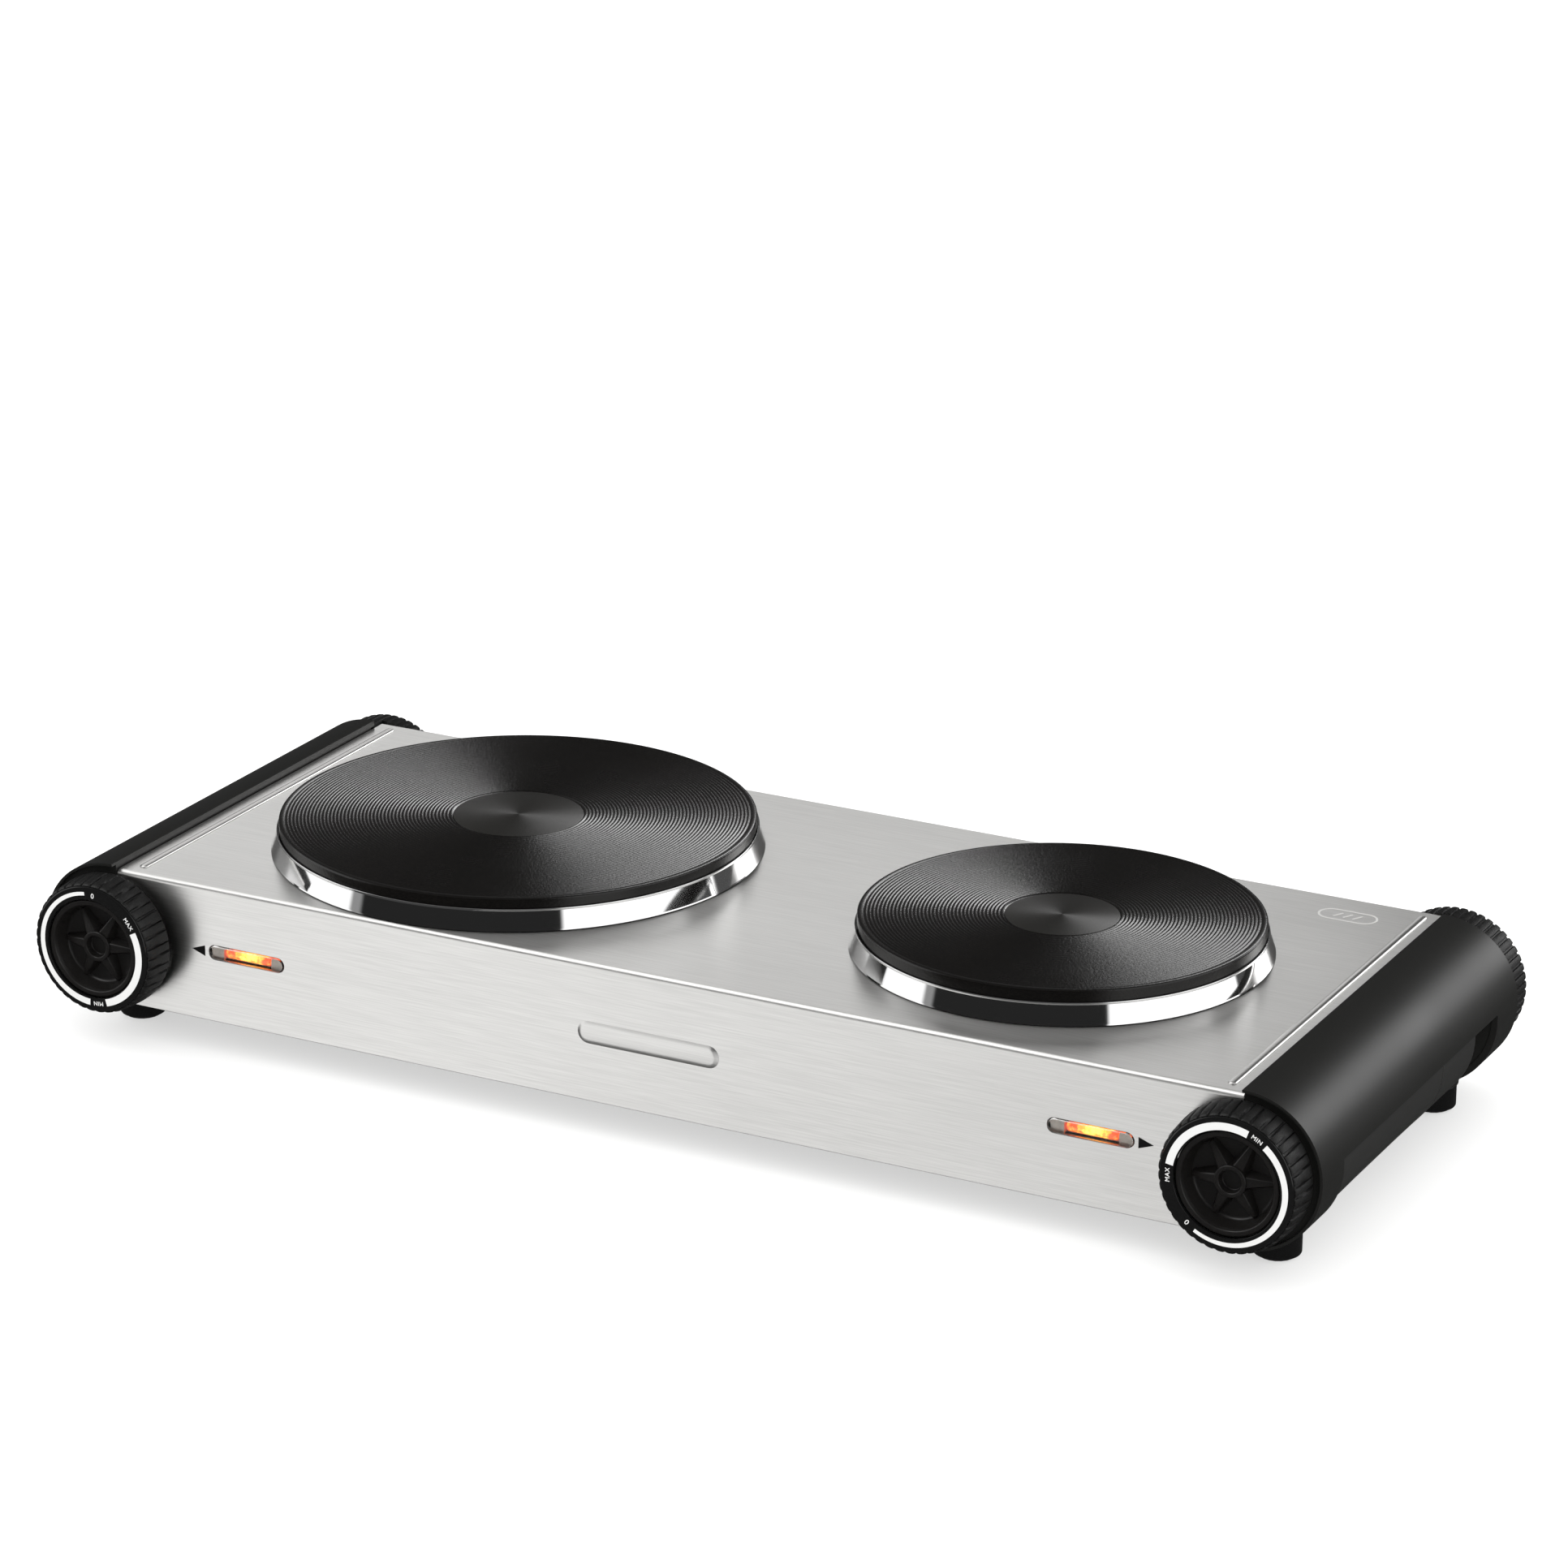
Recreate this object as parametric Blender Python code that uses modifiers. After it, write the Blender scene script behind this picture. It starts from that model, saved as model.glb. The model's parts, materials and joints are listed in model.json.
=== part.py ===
"""Twin cast-iron hot plate: a steel table-top burner with two electric plates and two turning knobs.

Units are metres, +Z is up, -Y is the front with the knobs. The origin is on the table, under the middle
of the whole object. Every piece of the object is one closed mesh with its own material.
"""
from math import acos, asin, ceil, cos, floor, pi, radians, sin

import bmesh
import bpy
from mathutils import Matrix, Vector

MM = 0.001
GAP = 0.3 * MM                      # air between pieces that touch
MERGE = 0.00001                     # merge distance of every modifier that merges

# Steel body
BODY_LENGTH = 475 * MM
BODY_DEPTH = 198 * MM
BODY_HEIGHT = 55.5 * MM
SHEET = 0.8 * MM
FOLD_RADIUS = 2 * MM
FOOT_DROP = 13.5 * MM               # from the body's lower edge to the table
KNOB_REACH = 17.6 * MM              # from the body's front face to the knob's face
CAP_REACH = 10 * MM                 # from the body's rear face to the rear cap's face

TOP_Z = FOOT_DROP + BODY_HEIGHT
BODY_BOTTOM_Z = FOOT_DROP
FRONT_Y = (KNOB_REACH - BODY_DEPTH - CAP_REACH) / 2
REAR_Y = FRONT_Y + BODY_DEPTH
PLATE_Y = FRONT_Y + BODY_DEPTH / 2
HALF_LENGTH = BODY_LENGTH / 2

# Burners: centre x, radius of the iron plate, height of its face over the steel
LARGE = dict(name="large", x=-114.5 * MM, radius=94 * MM, face=12.6 * MM, hub=26 * MM, terminal=50 * MM)
SMALL = dict(name="small", x=121 * MM, radius=77 * MM, face=13.2 * MM, hub=22 * MM, terminal=40 * MM)
LIP_Z = 8.5 * MM                    # top of the chrome ring over the steel
RING_FLARE = 3.2 * MM               # how far the ring's foot stands outside the plate
LEDGE = 4.5 * MM                    # how far the ring reaches in under the plate
PIN_SPREAD = 14 * MM                # each terminal pin's distance from the burner's middle line
SKIRT_STEP = 6 * MM                 # the plate's lower wall stands this far inside its rim
SKIRT_WALL = 4 * MM
SKIRT_DEPTH = 8 * MM                # how far the skirt hangs below the steel top
PLATE_WALL = 8 * MM

# Knobs, end handles and rear caps share one axis at each end
AXIS_X = 238.9 * MM
AXIS_Z = TOP_Z - 27.7 * MM
SHELL_RADIUS = 30.6 * MM
SHELL_WALL = 2.5 * MM
SHELL_FRONT_Y = FRONT_Y - 3 * MM
SHELL_REAR_Y = REAR_Y - 7 * MM
WALL_X = HALF_LENGTH + GAP          # inner face of the handle's upright wall
WALL = 2.5 * MM
INNER_RADIUS = SHELL_RADIUS - SHELL_WALL + GAP
CUTOUT_START_Y = FRONT_Y + 17 * MM
CUTOUT_END_Y = FRONT_Y + 170 * MM
ARC_STEP = radians(10)              # facets of every curved wall round that axis
CUTOUT_TOP_ANGLE = radians(5.5)     # where the outer shell stops over the finger hollow
LINER_INSET = 1.4 * MM              # how far the liner's shown face lies under the shell's
LINER_TOP_ANGLE = radians(40)
LINER_LOW_ANGLE = radians(-24)
CHAMBER_END_Y = FRONT_Y + 32 * MM   # rear wall of the thermostat chamber
FLOOR_X = 253 * MM                  # outer edge of the handle's bottom rail
NOTCH_RADIUS = 22 * MM              # round notch in the steel behind each knob

# Knobs
KNOB_RADIUS = 27.3 * MM
KNOB_FACE_RADIUS = 25.7 * MM
KNOB_BACK = 3.2 * MM                # from the knob's back to the steel front
DIAL_OUTER = 24.2 * MM
DIAL_INNER = 20.2 * MM
BOWL_RADIUS = 17.6 * MM
BOWL_FLOOR = 9.4 * MM               # height of the bowl's floor over the steel front
HUB_FACE = 14.6 * MM
HUB_RADIUS = 5.6 * MM
SHAFT_RADIUS = 3 * MM
SPOKES = 6

# Rear caps
CAP_RADIUS = 28.4 * MM

# Lamps
LAMP_X = 178.8 * MM
LAMP_Z = TOP_Z - 26.6 * MM
SLOT_LENGTH = 34 * MM
SLOT_HEIGHT = 5.6 * MM

# Feet
FOOT_X = 243 * MM
FOOT_YS = (FRONT_Y + 22.5 * MM, FRONT_Y + 175 * MM)
FOOT_RADIUS = 9 * MM
PAD_RADIUS = 7 * MM

# Base
BASE_SHEET = 1 * MM
BASE_TOP_Z = BODY_BOTTOM_Z + 1.3 * MM
SCREW_X = 228 * MM
SCREW_YS = (FRONT_Y + 48 * MM, FRONT_Y + 150 * MM)
TERMINAL_Y = FRONT_Y + 160 * MM
CORD_X = 0.0
CORD_Z = TOP_Z - 36 * MM

FACES_FRONT = (pi / 2, 0, 0)        # turns an object's own +Z to the front, -Y
FACES_REAR = (-pi / 2, 0, 0)        # turns an object's own +Z to the rear, +Y
ALONG_X = (pi / 2, 0, pi / 2)       # turns own x to Y, own y to Z and own z to X


def clear_scene():
    for obj in list(bpy.data.objects):
        bpy.data.objects.remove(obj, do_unlink=True)


def new_collection(name):
    collection = bpy.data.collections.new(name)
    bpy.context.scene.collection.children.link(collection)
    return collection


clear_scene()
PARTS = new_collection("hot_plate_burner")
CUTTERS = new_collection("cutters")
MATERIALS = {}


def material(name, colour, roughness, metallic=0.0):
    """One Principled BSDF material, made once and shared by name."""
    if name not in MATERIALS:
        made = bpy.data.materials.new(name)
        made.use_nodes = True
        shader = made.node_tree.nodes["Principled BSDF"]
        shader.inputs["Base Color"].default_value = (*colour, 1)
        shader.inputs["Roughness"].default_value = roughness
        shader.inputs["Metallic"].default_value = metallic
        MATERIALS[name] = made
    return MATERIALS[name]


STEEL = material("brushed_steel", (0.62, 0.61, 0.59), 0.32, 1.0)
CHROME = material("polished_chrome", (0.80, 0.80, 0.80), 0.08, 1.0)
IRON = material("cast_iron", (0.035, 0.033, 0.032), 0.5, 0.6)
PLASTIC = material("black_plastic", (0.016, 0.016, 0.016), 0.42)
GLOSS = material("gloss_black_plastic", (0.010, 0.010, 0.010), 0.15)
RUBBER = material("rubber", (0.03, 0.03, 0.03), 0.8)
ZINC = material("zinc_steel", (0.50, 0.50, 0.48), 0.4, 1.0)
CERAMIC = material("ceramic", (0.75, 0.72, 0.65), 0.6)
CLEAR = material("clear_lens", (0.85, 0.80, 0.75), 0.1)
GLOW = material("neon_lamp", (0.95, 0.45, 0.10), 0.2)
WIRE_SKIN = material("wire_insulation", (0.70, 0.66, 0.58), 0.6)


def place(mesh, name, look=None, location=(0, 0, 0), rotation=(0, 0, 0), cutter=False):
    """Link a mesh as a part, or as a hidden guide for a Boolean."""
    obj = bpy.data.objects.new(name, mesh)
    obj.location = location
    obj.rotation_euler = rotation
    if cutter:
        CUTTERS.objects.link(obj)
        obj.hide_render = True
        obj.display_type = "WIRE"
    else:
        PARTS.objects.link(obj)
        mesh.materials.append(look)
    return obj


def box(name, low, high, look=None, cutter=False):
    """A box between two corners, with its origin at its middle."""
    low, high = Vector(low), Vector(high)
    mesh = bpy.data.meshes.new(name)
    bm = bmesh.new()
    size = high - low
    bmesh.ops.create_cube(bm, size=1, matrix=Matrix.Diagonal((*size, 1)))
    bm.to_mesh(mesh)
    bm.free()
    return place(mesh, name, look, (low + high) / 2, cutter=cutter)


def rod(name, radius, start, end, look=None, cutter=False, sides=32):
    """A round bar between two points."""
    start, end = Vector(start), Vector(end)
    mesh = bpy.data.meshes.new(name)
    bm = bmesh.new()
    bmesh.ops.create_cone(bm, cap_ends=True, segments=sides, radius1=radius, radius2=radius,
                          depth=(end - start).length)
    bm.to_mesh(mesh)
    bm.free()
    turn = (end - start).to_track_quat("Z", "Y").to_euler()
    return place(mesh, name, look, (start + end) / 2, turn, cutter=cutter)


def turned(name, profile, location, look, rotation=(0, 0, 0), steps=48):
    """A turned piece. The profile is (radius, height) pairs, down the outer side; a profile that starts
    off the axis closes into a ring."""
    mesh = bpy.data.meshes.new(name)
    bm = bmesh.new()
    points = [bm.verts.new((radius, 0, height)) for radius, height in profile]
    for first, second in zip(points, points[1:]):
        bm.edges.new((first, second))
    if profile[0][0] > 0:
        bm.edges.new((points[-1], points[0]))
    bm.to_mesh(mesh)
    bm.free()
    obj = place(mesh, name, look, location, rotation)
    screw = obj.modifiers.new("turn", "SCREW")
    screw.axis = "Z"
    screw.steps = screw.render_steps = steps
    screw.use_merge_vertices = True
    screw.merge_threshold = MERGE
    screw.use_smooth_shade = False
    return obj


def flat(name, outline, thickness, location, rotation, look=None, cutter=False):
    """A plate cut to an outline of (x, y) points, centred on its own plane."""
    curve = bpy.data.curves.new(name, "CURVE")
    curve.dimensions = "2D"
    curve.fill_mode = "BOTH"
    curve.extrude = thickness / 2
    spline = curve.splines.new("POLY")
    spline.points.add(len(outline) - 1)
    for point, (x, y) in zip(spline.points, outline):
        point.co = (x, y, 0, 1)
    spline.use_cyclic_u = True
    drawn = bpy.data.objects.new(name + "_curve", curve)
    CUTTERS.objects.link(drawn)
    bpy.context.view_layer.update()
    mesh = bpy.data.meshes.new_from_object(drawn.evaluated_get(bpy.context.evaluated_depsgraph_get()))
    bpy.data.objects.remove(drawn)
    bm = bmesh.new()
    bm.from_mesh(mesh)
    bmesh.ops.remove_doubles(bm, verts=bm.verts, dist=MERGE)
    bmesh.ops.recalc_face_normals(bm, faces=bm.faces)
    bm.to_mesh(mesh)
    bm.free()
    mesh.materials.clear()
    return place(mesh, name, look, location, rotation, cutter=cutter)


def combine(target, other, operation, solver="EXACT"):
    step = target.modifiers.new(other.name, "BOOLEAN")
    step.operation = operation
    step.object = other
    step.solver = solver
    return target


def cut(target, *cutters, solver="EXACT"):
    for other in cutters:
        combine(target, other, "DIFFERENCE", solver)
    return target


def join(target, *pieces):
    for other in pieces:
        combine(target, other, "UNION")
    return target


def arc(centre, radius, start, end, steps):
    """Points on an arc, both ends included."""
    span = end - start
    angles = [start + span * i / steps for i in range(steps + 1)]
    return [(centre[0] + radius * cos(a), centre[1] + radius * sin(a)) for a in angles]


def pill(length, height, centre=(0, 0), steps=8):
    """A bar outline with round ends."""
    r, reach = height / 2, (length - height) / 2
    right = arc((centre[0] + reach, centre[1]), r, -pi / 2, pi / 2, steps)
    left = arc((centre[0] - reach, centre[1]), r, pi / 2, 3 * pi / 2, steps)
    return right + left


def wire(name, points, radius, look):
    """An insulated wire along hand-chosen points, smoothed between them."""
    knots = [Vector(p) for p in points]
    ends = [2 * knots[0] - knots[1]] + knots + [2 * knots[-1] - knots[-2]]
    route = []
    pieces = 2
    for a, b, c, d in zip(ends, ends[1:], ends[2:], ends[3:]):
        for i in range(pieces):
            t = i / pieces
            route.append(0.5 * (2 * b + (c - a) * t + (2 * a - 5 * b + 4 * c - d) * t ** 2
                                + (3 * b - a - 3 * c + d) * t ** 3))
    route.append(knots[-1])
    curve = bpy.data.curves.new(name, "CURVE")
    curve.dimensions = "3D"
    curve.bevel_depth = radius
    curve.bevel_resolution = 1
    curve.use_fill_caps = True
    curve.materials.append(look)
    spline = curve.splines.new("POLY")
    spline.points.add(len(route) - 1)
    for point, place_at in zip(spline.points, route):
        point.co = (*place_at, 1)
    obj = bpy.data.objects.new(name, curve)
    PARTS.objects.link(obj)
    return obj


# ---------------------------------------------------------------- steel body

def hole_radius(burner):
    return burner["radius"] - 4 * MM


def channel(half_depth, top, bottom, sheet, fold):
    """Outline of a sheet folded into an upside-down channel, in its own (y, z)."""
    corner = half_depth - fold
    outer = arc((corner, top - fold), fold, 0, pi / 2, 4) + arc((-corner, top - fold), fold, pi / 2, pi, 4)
    inner = arc((-corner, top - fold), fold - sheet, pi, pi / 2, 4)
    inner += arc((corner, top - fold), fold - sheet, pi / 2, 0, 4)
    sides = [(-half_depth, bottom), (-half_depth + sheet, bottom)]
    return [(half_depth, bottom)] + outer + sides + inner + [(half_depth - sheet, bottom)]


def make_top_cover():
    outline = channel(BODY_DEPTH / 2, TOP_Z, BODY_BOTTOM_Z, SHEET, FOLD_RADIUS)
    cover = flat("top_cover", outline, BODY_LENGTH, (0, PLATE_Y, 0), ALONG_X, STEEL)
    for burner in (LARGE, SMALL):
        name = burner["name"] + "_burner_hole"
        low, high = (burner["x"], PLATE_Y, TOP_Z - 5 * MM), (burner["x"], PLATE_Y, TOP_Z + 5 * MM)
        cut(cover, rod(name, hole_radius(burner), low, high, cutter=True, sides=40))
    for side in (-1, 1):
        slot = pill(SLOT_LENGTH, SLOT_HEIGHT)
        cut(cover, flat(f"lamp_slot_{side}", slot, 6 * MM, (side * LAMP_X, FRONT_Y, LAMP_Z),
                        FACES_FRONT, cutter=True))
        front = (side * AXIS_X, FRONT_Y, AXIS_Z)
        reach = Vector((0, 3 * MM, 0))
        cut(cover, rod(f"knob_notch_{side}", NOTCH_RADIUS, Vector(front) - reach, Vector(front) + reach,
                       cutter=True))
        rear = Vector((side * AXIS_X, REAR_Y, AXIS_Z))
        cut(cover, rod(f"cap_notch_{side}", 6.8 * MM, rear - reach, rear + reach, cutter=True, sides=24))
        bead = pill(182 * MM, 3.4 * MM, steps=4)
        join(cover, flat(f"end_bead_{side}", bead, 1.6 * MM,
                         (side * (HALF_LENGTH - 7.6 * MM), PLATE_Y - 1 * MM, TOP_Z),
                         (0, 0, pi / 2), cutter=True))
    rear_low, rear_high = REAR_Y - 4 * MM, REAR_Y + 4 * MM
    cut(cover, rod("cord_hole", 7.3 * MM, (CORD_X, rear_low, CORD_Z), (CORD_X, rear_high, CORD_Z),
                   cutter=True, sides=24))


def make_base_plate():
    low = BASE_TOP_Z - BASE_SHEET
    rim = low + 4.2 * MM
    half = BODY_DEPTH / 2 - SHEET - GAP
    outline = [(-half, low), (half, low), (half, rim), (half - BASE_SHEET, rim),
               (half - BASE_SHEET, BASE_TOP_Z), (BASE_SHEET - half, BASE_TOP_Z),
               (BASE_SHEET - half, rim), (-half, rim)]
    base = flat("base_plate", outline, BODY_LENGTH - 1.4 * MM, (0, PLATE_Y, 0), ALONG_X, ZINC)
    for burner in (LARGE, SMALL):
        for row in range(3):
            y = PLATE_Y + (row - 1) * 20 * MM
            centre = (burner["x"], y, low)
            cut(base, flat(f"{burner['name']}_vent_{row}", pill(70 * MM, 5 * MM, steps=3), 6 * MM,
                           centre, (0, 0, 0), cutter=True))
    for side in (-1, 1):
        for row, y in enumerate(SCREW_YS):
            at = Vector((side * SCREW_X, y, low))
            up = Vector((0, 0, 5 * MM))
            cut(base, rod(f"base_screw_hole_{side}_{row}", 2.2 * MM, at - up, at + up, cutter=True, sides=16))
    earth = Vector((-34 * MM, TERMINAL_Y, low))
    up = Vector((0, 0, 5 * MM))
    cut(base, rod("earth_hole", 2.2 * MM, earth - up, earth + up, cutter=True, sides=16))


# ---------------------------------------------------------------- burners

def make_hot_plate(burner):
    rim, face = burner["radius"], burner["face"]
    skirt = rim - SKIRT_STEP
    seat = LIP_Z - 3 * MM
    ceiling = face - PLATE_WALL
    profile = [(0, face - 0.3 * MM), (burner["hub"], face - 0.3 * MM), (burner["hub"] + 0.3 * MM, face),
               (rim - 1.2 * MM, face), (rim, face - 1 * MM), (rim, seat), (skirt, seat),
               (skirt, -SKIRT_DEPTH), (skirt - SKIRT_WALL, -SKIRT_DEPTH), (skirt - SKIRT_WALL, ceiling),
               (10 * MM, ceiling), (10 * MM, -2 * MM), (3.3 * MM, -2 * MM), (3.3 * MM, 6 * MM), (0, 6 * MM)]
    turned(burner["name"] + "_hot_plate", profile, (burner["x"], PLATE_Y, TOP_Z), IRON, steps=40)


def make_trim_ring(burner):
    rim = burner["radius"]
    foot = rim + RING_FLARE
    ledge_top = LIP_Z - 3.3 * MM
    profile = [(rim + 0.9 * MM, LIP_Z), (rim + 1.6 * MM, LIP_Z - 0.6 * MM), (foot, GAP),
               (foot - 1.6 * MM, GAP), (rim + 0.3 * MM, ledge_top - 1 * MM), (rim - LEDGE, ledge_top - 1 * MM),
               (rim - LEDGE, ledge_top), (rim + 0.3 * MM, ledge_top), (rim + 0.3 * MM, LIP_Z - 0.4 * MM)]
    turned(burner["name"] + "_trim_ring", profile, (burner["x"], PLATE_Y, TOP_Z), CHROME, steps=40)


def terminal_places(burner):
    x = burner["x"] + (-1 if burner is LARGE else 1) * burner["terminal"]
    return [(x, PLATE_Y - PIN_SPREAD), (x, PLATE_Y + PIN_SPREAD)]


def make_heating_element(burner):
    """A ring of embedded coil under the iron, with two terminal pins."""
    outer = burner["radius"] - SKIRT_STEP - SKIRT_WALL - 2 * MM
    top = burner["face"] - PLATE_WALL - 0.5 * MM
    profile = [(outer, top), (outer, -4 * MM), (16 * MM, -4 * MM), (16 * MM, top)]
    element = turned(burner["name"] + "_heating_element", profile, (burner["x"], PLATE_Y, TOP_Z), CERAMIC,
                     steps=24)
    for number, (x, y) in enumerate(terminal_places(burner)):
        join(element, rod(f"{burner['name']}_pin_{number}", 1.8 * MM, (x, y, TOP_Z - 14 * MM),
                          (x, y, TOP_Z - 2 * MM), cutter=True, sides=12))


def make_element_cover(burner):
    """A pressed dish that closes the plate from below."""
    outer = burner["radius"] - SKIRT_STEP
    low = -SKIRT_DEPTH - 1.2 * MM
    profile = [(30 * MM, low + 2.2 * MM), (34 * MM, low + 0.8 * MM), (outer, low + 0.8 * MM), (outer, low),
               (33.6 * MM, low), (29.6 * MM, low + 1.4 * MM), (4.4 * MM, low + 1.4 * MM),
               (4.4 * MM, low + 2.2 * MM)]
    cover = turned(burner["name"] + "_element_cover", profile, (burner["x"], PLATE_Y, TOP_Z), ZINC, steps=24)
    for number, (x, y) in enumerate(terminal_places(burner)):
        cut(cover, rod(f"{burner['name']}_pin_hole_{number}", 3.2 * MM, (x, y, TOP_Z - 16 * MM),
                       (x, y, TOP_Z - 1 * MM), cutter=True, sides=12))


def make_clamp_bridge(burner):
    """A cranked bar that pulls the plate down on to the steel top."""
    bar = 1.5 * MM
    leg = hole_radius(burner) + 2 * MM
    end = hole_radius(burner) + 9 * MM
    high, low = -SHEET - GAP, -11 * MM
    half = [(leg, low), (leg, high - bar), (end, high - bar), (end, high), (leg - bar, high),
            (leg - bar, low + bar)]
    outline = [(-x, z) for x, z in reversed(half)] + half
    outline = [(x, z - bar) if z in (low, low + bar) else (x, z) for x, z in outline]
    bridge = flat(burner["name"] + "_clamp_bridge", outline, 16 * MM, (burner["x"], PLATE_Y, TOP_Z),
                  FACES_FRONT, ZINC)
    cut(bridge, rod(burner["name"] + "_stud_hole", 3.4 * MM, (burner["x"], PLATE_Y, TOP_Z - 16 * MM),
                    (burner["x"], PLATE_Y, TOP_Z - 6 * MM), cutter=True, sides=20))


def make_stud_and_nut(burner):
    x = burner["x"]
    rod(burner["name"] + "_centre_stud", 2.9 * MM, (x, PLATE_Y, TOP_Z - 21 * MM),
        (x, PLATE_Y, TOP_Z + 5.6 * MM), ZINC, sides=16)
    top, bottom = TOP_Z - 12.8 * MM, TOP_Z - 17.8 * MM
    nut = rod(burner["name"] + "_centre_nut", 5.8 * MM, (x, PLATE_Y, bottom), (x, PLATE_Y, top), ZINC,
              sides=6)
    cut(nut, rod(burner["name"] + "_nut_bore", 3.2 * MM, (x, PLATE_Y, bottom - 2 * MM),
                 (x, PLATE_Y, top + 2 * MM), cutter=True, sides=16))


# ---------------------------------------------------------------- end handles

def grid_arc(radius, start, end):
    """Points round the knob axis from angle start down to end, on the shared angle grid, so that pieces
    of the same radius share their facets."""
    low, high = ceil(end / ARC_STEP + 0.01), floor(start / ARC_STEP - 0.01)
    angles = [start] + [i * ARC_STEP for i in range(high, low - 1, -1)] + [end]
    return [(radius * cos(a), radius * sin(a)) for a in angles]


def lean(radius):
    """The angle at which a circle round the knob axis meets the plane where the body ends."""
    return acos((WALL_X - AXIS_X) / radius)


def end_section(radius, side, past=0.0):
    """The outer part of a disc, cut off where the steel body ends, or that far past it into the body."""
    arc_points = grid_arc(radius, lean(radius), -lean(radius))
    if past:
        x, z = arc_points[0][0] - past, arc_points[0][1]
        arc_points += [(x, -z), (x, z)]
    return [(side * x, z) for x, z in arc_points]


def hollow_section(side):
    """The finger hollow, between the upright wall, the bottom rail and the arched grip."""
    inner, far = SHELL_RADIUS - SHELL_WALL, WALL_X + WALL - AXIS_X
    rail = BODY_BOTTOM_Z + 2 * MM - AXIS_Z
    outline = [(far, rail)] + grid_arc(inner, acos(far / inner), asin(rail / inner))
    return [(side * x, z) for x, z in outline]


def cutout_section(side, inside):
    """What is cut from the shell's lower flank: all outside the points given, down from the cut's top."""
    low, far = -45 * MM, 45 * MM
    top = (far * cos(CUTOUT_TOP_ANGLE), far * sin(CUTOUT_TOP_ANGLE))
    outline = inside + [(FLOOR_X - AXIS_X, low), (far, low), top]
    return [(side * x, z) for x, z in outline]


def grip_cutouts(side):
    """Two cuts: one as deep as the wall beside the thermostat chamber, one right into the hollow."""
    edge = FLOOR_X - AXIS_X
    flank = grid_arc(INNER_RADIUS, CUTOUT_TOP_ANGLE, -acos(edge / INNER_RADIUS))
    inner = 26 * MM
    chord = [(inner * cos(CUTOUT_TOP_ANGLE), inner * sin(CUTOUT_TOP_ANGLE)), (edge, -24 * MM)]
    return cutout_section(side, flank), cutout_section(side, chord)


def slab(name, outline, y_from, y_to, side):
    """An outline round the knob axis of one side, as a solid from one depth to another."""
    centre = (side * AXIS_X, (y_from + y_to) / 2, AXIS_Z)
    return flat(name, outline, y_to - y_from, centre, FACES_FRONT, cutter=True)


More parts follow.
